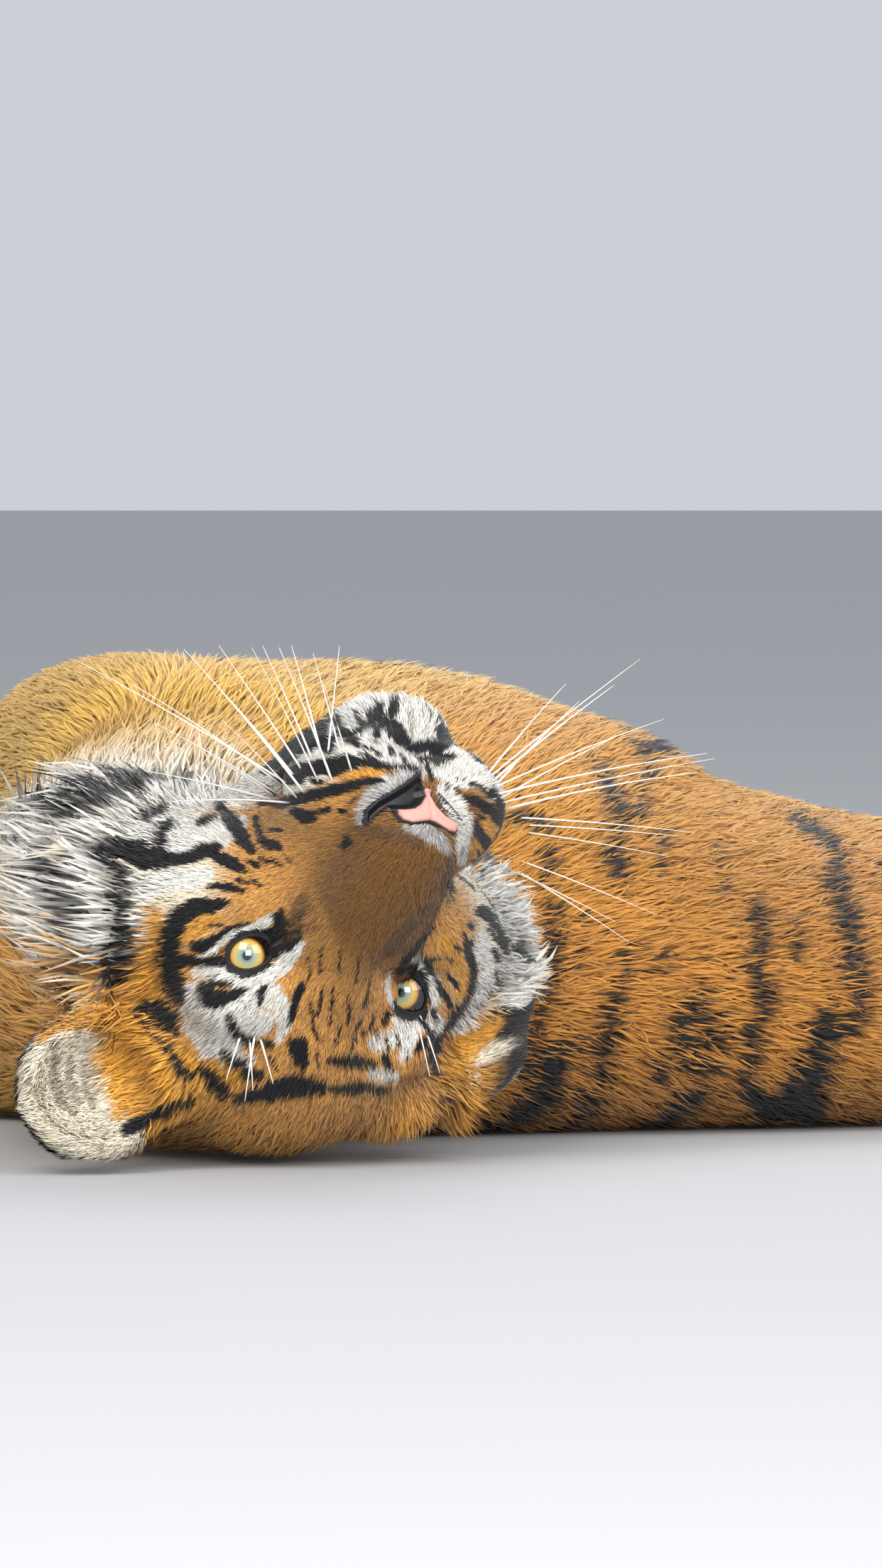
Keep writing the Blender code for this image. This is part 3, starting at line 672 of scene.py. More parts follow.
def mesh_from_arrays(name, places, triangles, colours, uvs=None, normals=None, strands=None):
    """A mesh of triangles with a colour for each vertex, and what else is given for each."""
    mesh = bpy.data.meshes.new(name)
    mesh.vertices.add(len(places))
    mesh.vertices.foreach_set("co", places.astype(np.float32).ravel())
    mesh.loops.add(triangles.size)
    mesh.loops.foreach_set("vertex_index", triangles.astype(np.int32).ravel())
    mesh.polygons.add(len(triangles))
    mesh.polygons.foreach_set("loop_start", np.arange(0, triangles.size, 3, dtype=np.int32))
    mesh.update(calc_edges=True)
    set_tint(mesh, colours)
    if uvs is not None:
        layer = mesh.uv_layers.new(name="OFBake")
        layer.uv.foreach_set("vector", uvs[triangles.ravel()].astype(np.float32).ravel())
    if strands is not None:
        strand = mesh.attributes.new("strand", "FLOAT_VECTOR", "POINT")
        strand.data.foreach_set("vector", strands.astype(np.float32).ravel())
    mesh.shade_smooth()
    if normals is not None:
        mesh.normals_split_custom_set_from_vertices(normals.tolist())
    return mesh


def relaxed(values, edges, times, amount=0.5):
    """Values on vertices, evened out along the edges."""
    count = len(values)
    one, other = edges[:, 0], edges[:, 1]
    neighbours = np.maximum(np.bincount(edges.ravel(), minlength=count), 1)[:, None]
    for _ in range(times):
        total = np.stack([np.bincount(one, values[other, k], count)
                          + np.bincount(other, values[one, k], count)
                          for k in range(values.shape[1])], axis=1)
        values = values + amount * (total / neighbours - values)
    return values


def unit(vectors):
    """Vectors of length one."""
    return vectors / np.maximum(np.linalg.norm(vectors, axis=-1, keepdims=True), 1e-9)


def mixed(one, other, weight):
    """From one value to the other, by weight."""
    return one + (other - one) * weight


def tinted(colour, other, weight):
    """From one colour to the other, by the weight of each place."""
    return mixed(colour, other, weight[:, None])


def ramp(value, start, end):
    """0 at the start, 1 at the end, smooth between."""
    t = np.clip((value - start) / (end - start), 0, 1)
    return t * t * (3 - 2 * t)


def waves(places, size, seed, octaves=3):
    """Smooth noise between about -1 and 1, with features of that size in metres."""
    source = np.random.default_rng(seed)
    total = np.zeros(len(places))
    for octave in range(octaves):
        for _ in range(5):
            direction = unit(source.normal(size=3)) * (2 ** octave) * 2 * math.pi / size
            phase = source.uniform(0, 2 * math.pi)
            total += np.sin(places @ direction * source.uniform(0.6, 1.3) + phase) / (2 ** octave)
    return total / 3.5


AXES = np.array(HEAD.to_3x3())
ORIGIN = np.array(HEAD_ORIGIN)


def in_head(places):
    """Places in the head's own axes."""
    return (places - ORIGIN) @ AXES


def out_of_head(places):
    """Places in the head's own axes, back in the world's."""
    return places @ AXES.T + ORIGIN


def in_ear(name, head_places):
    """Places in an ear's own axes."""
    inverse = np.array(ear_frame(name).inverted())
    return head_places @ inverse[:3, :3].T + inverse[:3, 3]


# ---- Body coordinates ------------------------------------------------------------------------
ROWS_AT_ONCE = 20000


class Tubes:
    """The centre lines of trunk, neck, tail and legs, to say where on the body a place is."""

    def __init__(self):
        neck = limb_stations(NECK, (-0.15, -0.70, -0.68))
        tubes = {"trunk": trunk_stations(), "neck": neck,
                 "tail": limb_stations(TAIL, (0, -0.3, 0.95))}
        for name, stations in LEGS.items():
            outward = 1 if name.endswith("right") else -1
            tubes[name] = limb_stations(stations, (0, 0, outward))
        self.names = list(tubes)
        columns = {key: [] for key in ("part", "centre", "ahead", "up", "side", "size", "along")}
        self.length = {}
        for index, (name, stations) in enumerate(tubes.items()):
            dense = smooth_stations(stations, 8)
            along = 0.0
            for i, (centre, half_up, half_side, up) in enumerate(dense):
                ahead = ahead_of(dense, i)
                side = ahead.cross(up).normalized()
                along += (centre - dense[i - 1][0]).length if i else 0.0
                size = (half_up + half_side) / 2
                row = (index, centre, ahead, side.cross(ahead), side, size, along)
                for key, value in zip(columns, row):
                    columns[key].append(value)
            self.length[name] = along
        for key, values in columns.items():
            setattr(self, key, np.array(values, dtype=float))
        self.part = self.part.astype(int)

    def by_kind(self, stations, values=None):
        """The kind of part that each station is on, or that kind's value."""
        kinds = [name.split("_")[0] for name in self.names]
        return np.array([values[kind] for kind in kinds] if values else kinds)[self.part[stations]]

    def locate(self, places):
        """For each place its nearest station, its way along the part, and its angle from up."""
        nearest = np.empty(len(places), dtype=int)
        square = (self.centre ** 2).sum(axis=1)
        for start in range(0, len(places), ROWS_AT_ONCE):
            rows = places[start:start + ROWS_AT_ONCE]
            distance = (rows ** 2).sum(axis=1)[:, None] + square - 2 * rows @ self.centre.T
            nearest[start:start + ROWS_AT_ONCE] = np.argmin(distance / self.size ** 2, axis=1)
        offset = places - self.centre[nearest]
        along = self.along[nearest] + (offset * self.ahead[nearest]).sum(axis=1)
        angle = np.arctan2((offset * self.side[nearest]).sum(axis=1),
                           (offset * self.up[nearest]).sum(axis=1))
        return nearest, along, angle

    def point(self, name, along, angle):
        """The centre line's place and the direction at that angle from up."""
        rows = np.flatnonzero(self.part == self.names.index(name))
        i = rows[np.argmin(np.abs(self.along[rows] - along))]
        direction = self.up[i] * math.cos(angle) + self.side[i] * math.sin(angle)
        return self.centre[i] + self.ahead[i] * (along - self.along[i]), direction


TUBES = Tubes()


class Surface:
    """A mesh as arrays, and where on the body each of its places is."""

    def __init__(self, mesh, places=None):
        mesh.calc_loop_triangles()
        self.places = read_array(mesh.vertices, "co", 3) if places is None else places
        self.normals = read_array(mesh.vertex_normals, "vector", 3)
        self.edges = read_array(mesh.edges, "vertices", 2, np.int32)
        self.triangles = read_array(mesh.loop_triangles, "vertices", 3, np.int32)
        self.head_places = in_head(self.places)
        self.nearest, self.along, self.angle = TUBES.locate(self.places)


# ---- Skin ------------------------------------------------------------------------------------
def fused_body():
    """All the flesh fused into one closed body, as an object."""
    bm = bmesh.new()
    add_tube(bm, trunk_stations())
    for centre, radii, turn in BODY_MASSES:
        turned = Matrix.Rotation(math.radians(turn), 4, "Z")
        add_ellipsoid(bm, Matrix.Translation(centre) @ turned, radii)
    for limb in (NECK, TAIL, *LEGS.values()):
        add_tube(bm, limb_stations(limb))
    for name in PAWS:
        add_paw(bm, name)
    for centre, radii, has_twin in HEAD_MASSES:
        for side in (1, -1)[:2 if has_twin else 1]:
            place = Vector((centre[0], side * centre[1], centre[2]))
            add_ellipsoid(bm, HEAD @ Matrix.Translation(place), radii)
    for tube in (BRIDGE, MUZZLE, JAW):
        add_tube(bm, head_stations(tube))
    for name in EARS:
        add_ear(bm, name)
    body = new_object("skin", to_mesh(bm, "skin"))
    remesh = body.modifiers.new("fuse", "REMESH")
    remesh.mode = "VOXEL"
    remesh.voxel_size = VOXEL
    apply_modifiers(body)
    return body


def paw_axes(name):
    """A paw's place and axes: x to the toes, z up."""
    centre, heading, _, _ = PAWS[name]
    return Matrix.Translation(centre) @ Matrix.Rotation(math.radians(heading), 4, "Z")


def toe_places(name):
    """The places of a paw's four toes in its own axes.  They stand one above the other."""
    _, _, half_length, half_thickness = PAWS[name]
    return [Vector((half_length * (0.70 - 0.05 * abs(k - 1.5) ** 2), 0.0,
                    (k - 1.5) * 0.46 * half_thickness)) for k in range(4)]


def add_paw(bm, name):
    """A broad paw with four toes."""
    _, _, half_length, half_thickness = PAWS[name]
    axes = paw_axes(name)
    add_ellipsoid(bm, axes, (half_length - 0.003, 0.050, half_thickness - 0.001))
    for place in toe_places(name):
        add_ellipsoid(bm, axes @ Matrix.Translation(place), (0.027, 0.040, 0.0140))


def is_ear(head_places):
    """Which places belong to an ear that stands free of the head."""
    found = np.zeros(len(head_places), dtype=bool)
    for name in EARS:
        own = in_ear(name, head_places)
        found |= ((own[:, 0] > 0.32 * EAR_LENGTH) & (own[:, 0] < 1.2 * EAR_LENGTH)
                  & (np.abs(own[:, 1]) < 1.25 * EAR_HALF_WIDTH) & (np.abs(own[:, 2]) < 0.032))
    return found


def refine(body, wanted):
    """Divides the faces whose middle is wanted."""
    bm = bmesh.new()
    bm.from_mesh(body.data)
    bm.faces.ensure_lookup_table()
    middles = np.array([face.calc_center_median() for face in bm.faces])
    chosen = wanted(in_head(middles))
    edges = {edge for i in np.flatnonzero(chosen) for edge in bm.faces[i].edges}
    bmesh.ops.subdivide_edges(bm, edges=list(edges), cuts=1, use_grid_fill=True)
    bm.to_mesh(body.data)
    bm.free()


def face_zone(head_places):
    """The part of the head that is modelled finely."""
    return (head_places[:, 0] > -0.075) & (np.linalg.norm(head_places, axis=1) < 0.19)


def finest_zone(head_places):
    """Round the eyes, the nose and the mouth."""
    eyes = np.minimum(np.linalg.norm(head_places - np.array(EYE_CENTRE), axis=1),
                      np.linalg.norm(head_places * (1, -1, 1) - np.array(EYE_CENTRE), axis=1))
    return face_zone(head_places) & ((eyes < 0.034) | (head_places[:, 0] > 0.082))


def coat_depth(surface):
    """How deep the coat is at each place."""
    depth = TUBES.by_kind(surface.nearest, COAT_DEPTH)
    for name in LEGS:
        here = TUBES.part[surface.nearest] == TUBES.names.index(name)
        to_paw = ramp(surface.along[here], 0.72 * TUBES.length[name], 0.95 * TUBES.length[name])
        depth[here] = mixed(depth[here], PAW_DEPTH, to_paw)
    x, y, z = surface.head_places.T
    face = np.interp(x, (-0.15, -0.10, -0.05, -0.01, 0.03, 0.12),
                     (NAPE_DEPTH, 0.010, 0.0055, 0.0035, FACE_DEPTH, 0.0020))
    face = mixed(face, RUFF_DEPTH, ramp(np.abs(y), 0.080, 0.125) * ramp(-x, 0.0, 0.05))
    face = mixed(face, CHIN_DEPTH, ramp(-z, 0.100, 0.125) * ramp(x, -0.02, 0.05))
    depth = mixed(depth, face, head_weight(surface.head_places))
    depth[is_ear(surface.head_places)] = EAR_DEPTH
    return relaxed(depth[:, None], surface.edges, 8)


def head_weight(head_places):
    """1 on the head, 0 on the neck and beyond."""
    near = ramp(-np.linalg.norm(head_places - HEAD_MIDDLE, axis=1), -0.205, -0.185)
    return np.where(is_ear(head_places), 1.0, ramp(head_places[:, 0], -0.165, -0.115) * near)


def eye_axes(side):
    """An eye's centre and its opening's axes: out, to the inner corner, and to the brow."""
    out = Vector(EYE_OUT[side]).normalized()
    inner = Vector((0.44, -0.83 * side, -0.35))
    inner = (inner - out * inner.dot(out)).normalized()
    brow = out.cross(inner) if side < 0 else inner.cross(out)
    centre = Vector((EYE_CENTRE.x, EYE_CENTRE.y * side, EYE_CENTRE.z))
    if brow.z < 0:
        brow.negate()
    return tuple(np.array(v) for v in (centre, out, inner, brow))


def lid_edge(across):
    """How wide the opening of an eye is towards a place across it, and half its height there."""
    reach = np.where(across > 0, LID_INNER, LID_OUTER)
    return reach, LID_HALF_HEIGHT * np.clip(1 - np.abs(across / reach) ** 2.2, 0, 1) ** 0.6


# The right eye opens further inwards, where the animal looks past its nose.
EYE_OUT = {1: (0.84, 0.36, 0.40), -1: (0.73, 0.40, 0.54)}
LID_INNER, LID_OUTER, LID_HALF_HEIGHT = 0.0135, 0.0128, 0.0093


def outside_lids(head_places, side):
    """How far outside the opening of an eye each place is, measured on the eyeball."""
    centre, out, inner, brow = eye_axes(side)
    offset = head_places - centre
    direction = unit(offset)
    across, up = EYE_RADIUS * direction @ inner, EYE_RADIUS * direction @ brow
    reach, height = lid_edge(across)
    beyond = np.maximum(np.abs(across) - reach, 0)
    distance = np.where(beyond > 0, np.hypot(beyond, up), np.abs(up) - height)
    return np.where(offset @ out > 0, distance, 1.0), np.linalg.norm(offset, axis=1)


def near_lids(head_places, side):
    """How far outside the opening of an eye each place on the lids or the eyeball is."""
    distance, radius = outside_lids(head_places, side)
    return distance + np.maximum(radius - EYE_RADIUS - 0.005, 0)


def open_eyes(head_places):
    """Sinks the openings of the eyes and lays lids over the eyeballs."""
    head_places = narrow_bridge(head_places)
    lid = EYE_RADIUS + 0.0016
    for side in (1, -1):
        centre = eye_axes(side)[0]
        distance, radius = outside_lids(head_places, side)
        opening = mixed(lid, 0.8 * EYE_RADIUS, ramp(-distance, 0.0, 0.0015))
        round_it = mixed(lid, np.maximum(radius, lid - 0.0004), ramp(distance, 0.0, 0.008))
        wanted = np.where(distance < 0, opening, round_it)
        wanted = np.where((distance < 0.02) & (radius < 0.060), wanted, radius)
        head_places = centre + (head_places - centre) * (wanted / radius)[:, None]
    return head_places


def narrow_bridge(head_places):
    """Draws the bridge of the nose in, where it would hide the right eye in the picture."""
    to_camera, right, up = (np.array(axis) for axis in (TO_CAMERA, TO_RIGHT, TO_TOP))
    offset = head_places - eye_axes(-1)[0]
    depth, across, upward = offset @ to_camera, offset @ right, offset @ up
    near = np.exp(-((across + 0.006) ** 2 + (upward - 0.005) ** 2) / (2 * BRIDGE_SPREAD ** 2))
    near *= ramp(depth, 0.014, 0.024) * ramp(-depth, -0.100, -0.070)
    return head_places + BRIDGE_SHIFT * near[:, None] * (0.66 * up - 0.75 * right)


def sculpt_muzzle(head_places, normals):
    """Presses in the mouth's line and the groove under the nose."""
    x, y, z = head_places.T
    lip = np.exp(-((z + 0.0945) / 0.0032) ** 2) * ramp(x, -0.025, 0.010) * 0.0045
    groove = np.exp(-(y / 0.0022) ** 2) * ramp(x, 0.085, 0.095) * ramp(-z, 0.062, 0.068) * 0.003
    return head_places - normals * (lip + groove)[:, None]


def eyelid_rims(bm):
    """Thin bare rims along the edges of the lids."""
    for side in (1, -1):
        centre, out, inner, brow = eye_axes(side)
        path = []
        for turn in 2 * math.pi * np.arange(64) / 64:
            across = math.cos(turn) * (LID_INNER if math.cos(turn) > 0 else LID_OUTER)
            up = math.copysign(lid_edge(across)[1], math.sin(turn))
            depth = math.sqrt(max(EYE_RADIUS ** 2 - across ** 2 - up ** 2, 1e-8))
            direction = unit(inner * across + brow * up + out * depth)
            path.append(HEAD @ Vector(centre + direction * (EYE_RADIUS + 0.0006)))
        add_ring(bm, path, 0.0012)


def round_ring(bm, centre, side, ahead, radius, sides):
    """A ring of vertices round a place on a line."""
    up = side.cross(ahead)
    return [bm.verts.new(centre + (side * math.cos(a) + up * math.sin(a)) * radius)
            for a in (2 * math.pi * i / sides for i in range(sides))]


def join_rings(bm, rings):
    """Faces between each ring of vertices and the next."""
    for one, other in zip(rings, rings[1:]):
        for i in range(len(one)):
            following = (i + 1) % len(one)
            bm.faces.new((one[i], one[following], other[following], other[i]))


def add_ring(bm, path, radius, sides=8):
    """A closed tube along a closed path."""
    rings = []
    middle = sum(path, Vector()) / len(path)
    for k, point in enumerate(path):
        ahead = (path[(k + 1) % len(path)] - path[k - 1]).normalized()
        side = ahead.cross(point - middle).normalized()
        rings.append(round_ring(bm, point, side, ahead, radius, sides))
    join_rings(bm, rings + rings[:1])


def make_skin():
    """The one skin under the whole coat."""
    body = fused_body()
    surface = Surface(body.data)
    amount = np.where(is_ear(surface.head_places), 0.10, 0.5)[:, None]
    put_vertices(body.data, relaxed(surface.places, surface.edges, SMOOTHING, amount))
    refine(body, face_zone)
    refine(body, finest_zone)
    surface = Surface(body.data)
    fine = face_zone(surface.head_places) & ~is_ear(surface.head_places)
    places = relaxed(surface.places, surface.edges, 4, np.where(fine, 0.5, 0.0)[:, None])
    put_vertices(body.data, places)
    surface = Surface(body.data, places)
    places = places - surface.normals * coat_depth(surface)
    places = out_of_head(open_eyes(sculpt_muzzle(in_head(places), surface.normals @ AXES)))
    places[:, 2] = np.maximum(places[:, 2], FLOOR_GAP)
    put_vertices(body.data, places)
    return body


# ---- Lie of the coat -------------------------------------------------------------------------
NOSE_TIP = np.array((0.118, 0.0, -0.050))


def lie_of_coat(surface):
    """The direction in which the hair lies on the skin."""
    ahead, up, side = (axis[surface.nearest] for axis in (TUBES.ahead, TUBES.up, TUBES.side))
    head_places, normals = surface.head_places, surface.normals
    sine, cosine = np.sin(surface.angle)[:, None], np.cos(surface.angle)[:, None]
    to_belly = (-up * sine + side * cosine) * np.sign(surface.angle)[:, None]
    share = TUBES.by_kind(surface.nearest, TO_BELLY)[:, None] * np.abs(sine)
    direction = ahead + to_belly * share
    from_nose = unit(head_places - NOSE_TIP)
    flare = ramp(np.abs(head_places[:, 1]), 0.06, 0.13)[:, None]
    outward = np.stack([np.zeros(len(head_places)), np.sign(head_places[:, 1]) * 0.75,
                        np.full(len(head_places), -0.55)], axis=1)
    on_head = (from_nose + outward * flare) @ AXES.T
    weight = head_weight(head_places)[:, None]
    direction = unit(direction) * (1 - weight) + unit(on_head) * weight
    for ear in EARS:
        own = in_ear(ear, head_places)
        here = is_ear(head_places) & (own[:, 0] > 0) & (np.abs(own[:, 2]) < 0.04)
        direction[here] = np.array(HEAD.to_3x3() @ ear_frame(ear).to_3x3() @ Vector((1, 0, 0)))
    direction -= normals * (direction * normals).sum(axis=1, keepdims=True)
    return relaxed(unit(direction), surface.edges, 12)


# ---- Markings --------------------------------------------------------------------------------
def linear(red, green, blue):
    """A colour given in display values from 0 to 255, made linear."""
    values = np.array((red, green, blue)) / 255
    return np.where(values <= 0.04045, values / 12.92, ((values + 0.055) / 1.055) ** 2.4)


BLACK_HAIR = linear(15, 16, 20)
GOLD = linear(231, 182, 82)
ORANGE_HAIR = linear(224, 158, 56)
RUST = linear(196, 132, 54)
BROWN = linear(131, 90, 40)
FOREHEAD_BROWN = linear(218, 158, 84)
CREAM = linear(240, 228, 204)
WHITE_HAIR = linear(241, 236, 226)
GREY_HAIR = linear(186, 184, 182)
SHADE_HAIR = linear(84, 64, 50)
BARE_BLACK = linear(20, 18, 20)


def seen(right, up):
    """The ray through a place in the picture, in centimetres from its middle."""
    return (TARGET + Vector(PICTURE_RIGHT) * (right / 100) + Vector(PICTURE_UP) * (up / 100)
            - CAMERA_PLACE).normalized()


def along_line(points, radii, step):
    """Points and radii along a broken line, close together."""
    places, sizes = [], []
    for (one, other), (size, next_size) in zip(zip(points, points[1:]), zip(radii, radii[1:])):
        count = max(1, int(np.linalg.norm(other - one) / step))
        for k in range(count):
            places.append(one + (other - one) * k / count)
            sizes.append(size + (next_size - size) * k / count)
    places.append(points[-1])
    sizes.append(radii[-1])
    return places, sizes


def strokes_of(text):
    """A group's strokes, with right and up in centimetres and half widths in millimetres."""
    return [[[int(number) / 10 for number in point.split()] for point in stroke.split(",")]
            for stroke in text.split(";")]


def strokes_on_skin(groups, tree):
    """Marks on the side that the camera sees, and their mirror images where it sees nothing."""
    places, sizes, twins, twin_sizes = [], [], [], []
    for stroke in (stroke for text in groups for stroke in strokes_of(text)):
        hits = []
        for right, up, _ in stroke:
            ray = seen(right, up)
            place = tree.ray_cast(CAMERA_PLACE, ray)[0]
            hits.append(np.array(place or CAMERA_PLACE + ray * PAST_ANIMAL))
        radii = [half_width / 1000 for _, _, half_width in stroke]
        line, line_sizes = along_line(hits, radii, 0.0015)
        places += line
        sizes += line_sizes
        for place, size in zip(line, line_sizes):
            twin = mirrored_out_of_sight(place, tree)
            if twin is not None:
                twins.append(twin)
                twin_sizes.append(size)
    return [Discs(places, sizes, VIEW),
            Discs(twins, twin_sizes, TWIN_VIEW, reach=0.015, slope=1.5)]


def mirrored_out_of_sight(place, tree):
    """The place's mirror image on the head, unless the camera sees it or it is off the head."""
    own = in_head(place[None])
    if head_weight(own)[0] < 0.5 or is_ear(own)[0]:
        return None
    twin, normal, _, distance = tree.find_nearest(Vector(out_of_head(own * (1, -1, 1))[0]))
    if twin is None or distance > 0.03:
        return None
    to_camera = CAMERA_PLACE - twin
    if normal.dot(to_camera) > 0.45 * to_camera.length:
        return None
    if normal.dot(to_camera) > 0.15 * to_camera.length:
        blocked = tree.ray_cast(twin + normal * 0.004, to_camera.normalized())[0]
        if blocked is None:
            return None
    return np.array(twin)


def stripe_on(name, along, lean, start, end, half_width, tree, wiggle):
    """A stripe round a part, from one angle to another, pointed at both ends."""
    points, radii = [], []
    count = 24
    for k in range(count + 1):
        t = k / count
        angle = math.radians(start + (end - start) * t)
        shift = (lean * t + 0.010 * math.sin(5.0 * t + wiggle)
                 + 0.005 * math.sin(11 * t + 2.3 * wiggle))
        centre, direction = TUBES.point(name, along + shift, angle)
        hit = tree.ray_cast(Vector(centre), Vector(direction))[0]
        if hit is not None:
            points.append(np.array(hit))
            taper = min(1.0, 0.25 + 3.5 * t) * max(0.05, 1 - t ** 2.2)
            radii.append(half_width * taper * (1 + 0.25 * math.sin(9 * t + 3 * wiggle)))
    return along_line(points, radii, 0.004) if len(points) > 1 else ([], [])


def body_stripes(tree):
    """The stripes that the picture does not show: flanks, rump, legs, tail and neck."""
    source = np.random.default_rng(21)
    places, sizes = [], []

    def add(*arguments):
        line, line_sizes = stripe_on(*arguments, tree, source.uniform(0, 6))
        places.extend(line)
        sizes.extend(line_sizes)

    trunk = TUBES.length["trunk"]
    for along in np.arange(0.06, trunk - 0.04, 0.062):
        for side in (-1, 1):
            shown = side < 0 and along < 0.40
            reach = source.uniform(95, 135)
            if not shown:
                add("trunk", along, source.uniform(-0.01, 0.05), -12 * side, reach * side,
                    source.uniform(0.011, 0.015))
                if source.uniform() < 0.6:
                    add("trunk", along + 0.026, source.uniform(0.0, 0.04), 30 * side,
                        (reach - 25) * side, source.uniform(0.007, 0.010))
            add("trunk", along + 0.01, source.uniform(0.0, 0.03), 168 * side, 118 * side, 0.006)
    for along in np.arange(0.03, TUBES.length["neck"] - 0.03, 0.055):
        for side in (-1, 1):
            add("neck", along, 0.02, -10 * side, source.uniform(60, 85) * side, 0.009)
    tail = TUBES.length["tail"]
    for along in np.arange(0.10, tail - 0.06, 0.066):
        for side in (-1, 1):
            add("tail", along, 0.0, -15 * side, 150 * side, 0.010 + 0.004 * along / tail)
    for side in (-1, 1):
        for along in (tail - 0.02, tail - 0.04, tail):
            add("tail", along, 0.0, -15 * side, 179 * side, 0.016)
    for name in LEGS:
        hind = name.startswith("hind")
        length = TUBES.length[name]
        for along in np.arange(0.10 if hind else 0.16, length - 0.10, 0.058 if hind else 0.085):
            for side in (-1, 1):
                add(name, along, source.uniform(-0.02, 0.02), source.uniform(-5, 15) * side,
                    source.uniform(85, 125) * side, source.uniform(0.009, 0.013))
                add(name, along + 0.02, source.uniform(-0.02, 0.02), 175 * side,
                    source.uniform(110, 140) * side, 0.007)
    return places, sizes


# Bands across the crown: how far back, half their span and half their width.
CROWN_BANDS = ((-0.075, 0.045, 0.0035), (-0.098, 0.060, 0.0045), (-0.120, 0.070, 0.0050),
               (-0.145, 0.075, 0.0060))


def crown_stripes(tree):
    """Black bands across the crown and the nape."""
    places, sizes = [], []
    for x, half_span, half_width in CROWN_BANDS:
        line = []
        for t in np.linspace(-1, 1, 15):
            start = HEAD @ Vector((x - 0.012 * abs(t), half_span * t, 0.0))
            direction = HEAD.to_3x3() @ Vector((-0.1, 0.35 * t, 1.0)).normalized()
            hit = tree.ray_cast(start, direction)[0]
            if hit is not None:
                line.append(np.array(hit))
        if len(line) > 1:
            radii = [half_width * (1 - 0.7 * abs(2 * k / (len(line) - 1) - 1) ** 2)
                     for k in range(len(line))]
            more, more_sizes = along_line(line, radii, 0.0015)
            places += more
            sizes += more_sizes
    return places, sizes


TWIN_VIEW = AXES @ ((VIEW @ AXES) * (1, -1, 1))     # the view, mirrored in the head
SLACK = 0.02


class Discs:
    """Many small discs, seen along a direction: what slants away from it is covered as widely.

    Places further behind a disc than SLACK, or further before it than reach, are covered less, by
    the slope.
    """

    def __init__(self, places, sizes, view=None, reach=10.0, slope=0.3):
        self.sizes = np.array(sizes)
        self.view, self.reach, self.slope = view, reach, slope
        self.places = np.array(places)
        self.tree = KDTree(len(places))
        for i, place in enumerate(self.pressed(self.places)):
            self.tree.insert(place, i)
        self.tree.balance()

    def pressed(self, places):
        """The places, pressed together along the view."""
        if self.view is None or not len(places):
            return places
        return places - (places @ self.view)[:, None] * self.view

    def depth(self, places):
        """How deep inside the discs each place is."""
        if not len(self.sizes):
            return np.full(len(places), -1.0)
        found = [self.tree.find(place)[1:] for place in self.pressed(places)]
        index, distance = np.array(found).T
        index = index.astype(int)
        if self.view is not None:
            behind = (places - self.places[index]) @ self.view
            beyond = np.maximum(behind - SLACK, 0) + np.maximum(-behind - self.reach, 0)
            distance = np.hypot(distance, self.slope * beyond)
        return self.sizes[index] - distance


class Layer:
    """One colour of the markings, as groups of discs on the head, on the body or on both."""

    def __init__(self, colour, groups, least=0.01, most=1.0, strength=1.0):
        self.colour, self.groups, self.strength = colour, groups, strength
        self.least, self.most = least, most

    def cover(self, places, soft, noise):
        """How fully the layer covers each place, from 0 to 1."""
        depth = np.max([group.depth(places) for group in self.groups], axis=0)
        return np.clip((depth + noise) / soft + 0.5, 0, 1)


def base_colour(surface):
    """The coat's ground colour, before white patches and black stripes."""
    under = np.abs(surface.angle) / math.pi
    mottle = waves(surface.places, 0.09, 3)
    flank = tinted(RUST, ORANGE_HAIR, ramp(under, 0.05, 0.42))
    flank = tinted(flank, GOLD, ramp(under, 0.50, 0.72))
    limb = tinted(mixed(GOLD, ORANGE_HAIR, 0.35), CREAM, ramp(under, 0.42, 0.62))
    grounds = {"trunk": tinted(flank, WHITE_HAIR, ramp(under + 0.02 * mottle, 0.70, 0.84)),
               "foreleg": limb, "hindleg": limb,
               "tail": tinted(ORANGE_HAIR, CREAM, ramp(under, 0.45, 0.75)),
               "neck": tinted(ORANGE_HAIR, CREAM, ramp(under, 0.42, 0.62))}
    kinds = TUBES.by_kind(surface.nearest)
    colour = np.empty((len(under), 3))
    for kind, ground in grounds.items():
        colour[kinds == kind] = ground[kinds == kind]
    shoulder = ramp(-np.linalg.norm(surface.places - SHOULDER, axis=1), -0.20, -0.12)
    colour = tinted(colour, GOLD, 0.95 * shoulder)
    x, y, z = surface.head_places.T
    side = np.abs(y)
    face = tinted(FOREHEAD_BROWN, ORANGE_HAIR, ramp(-x, 0.03, 0.09))
    for tone, weight in (
            (BROWN, ramp(x, 0.015, 0.055) * ramp(-side, -0.050, -0.030) * ramp(z, -0.085, -0.060)),
            (CREAM, ramp(side - 0.4 * x, 0.062, 0.090) * ramp(-z, 0.000, 0.035)),
            (WHITE_HAIR, ramp(-z, 0.088, 0.100)),
            (WHITE_HAIR, ramp(x, 0.045, 0.065) * ramp(-z + 0.35 * side, 0.078, 0.090))):
        face = tinted(face, tone, weight)
    colour = tinted(colour, face, head_weight(surface.head_places))
    return colour * (1 + 0.06 * mottle[:, None])


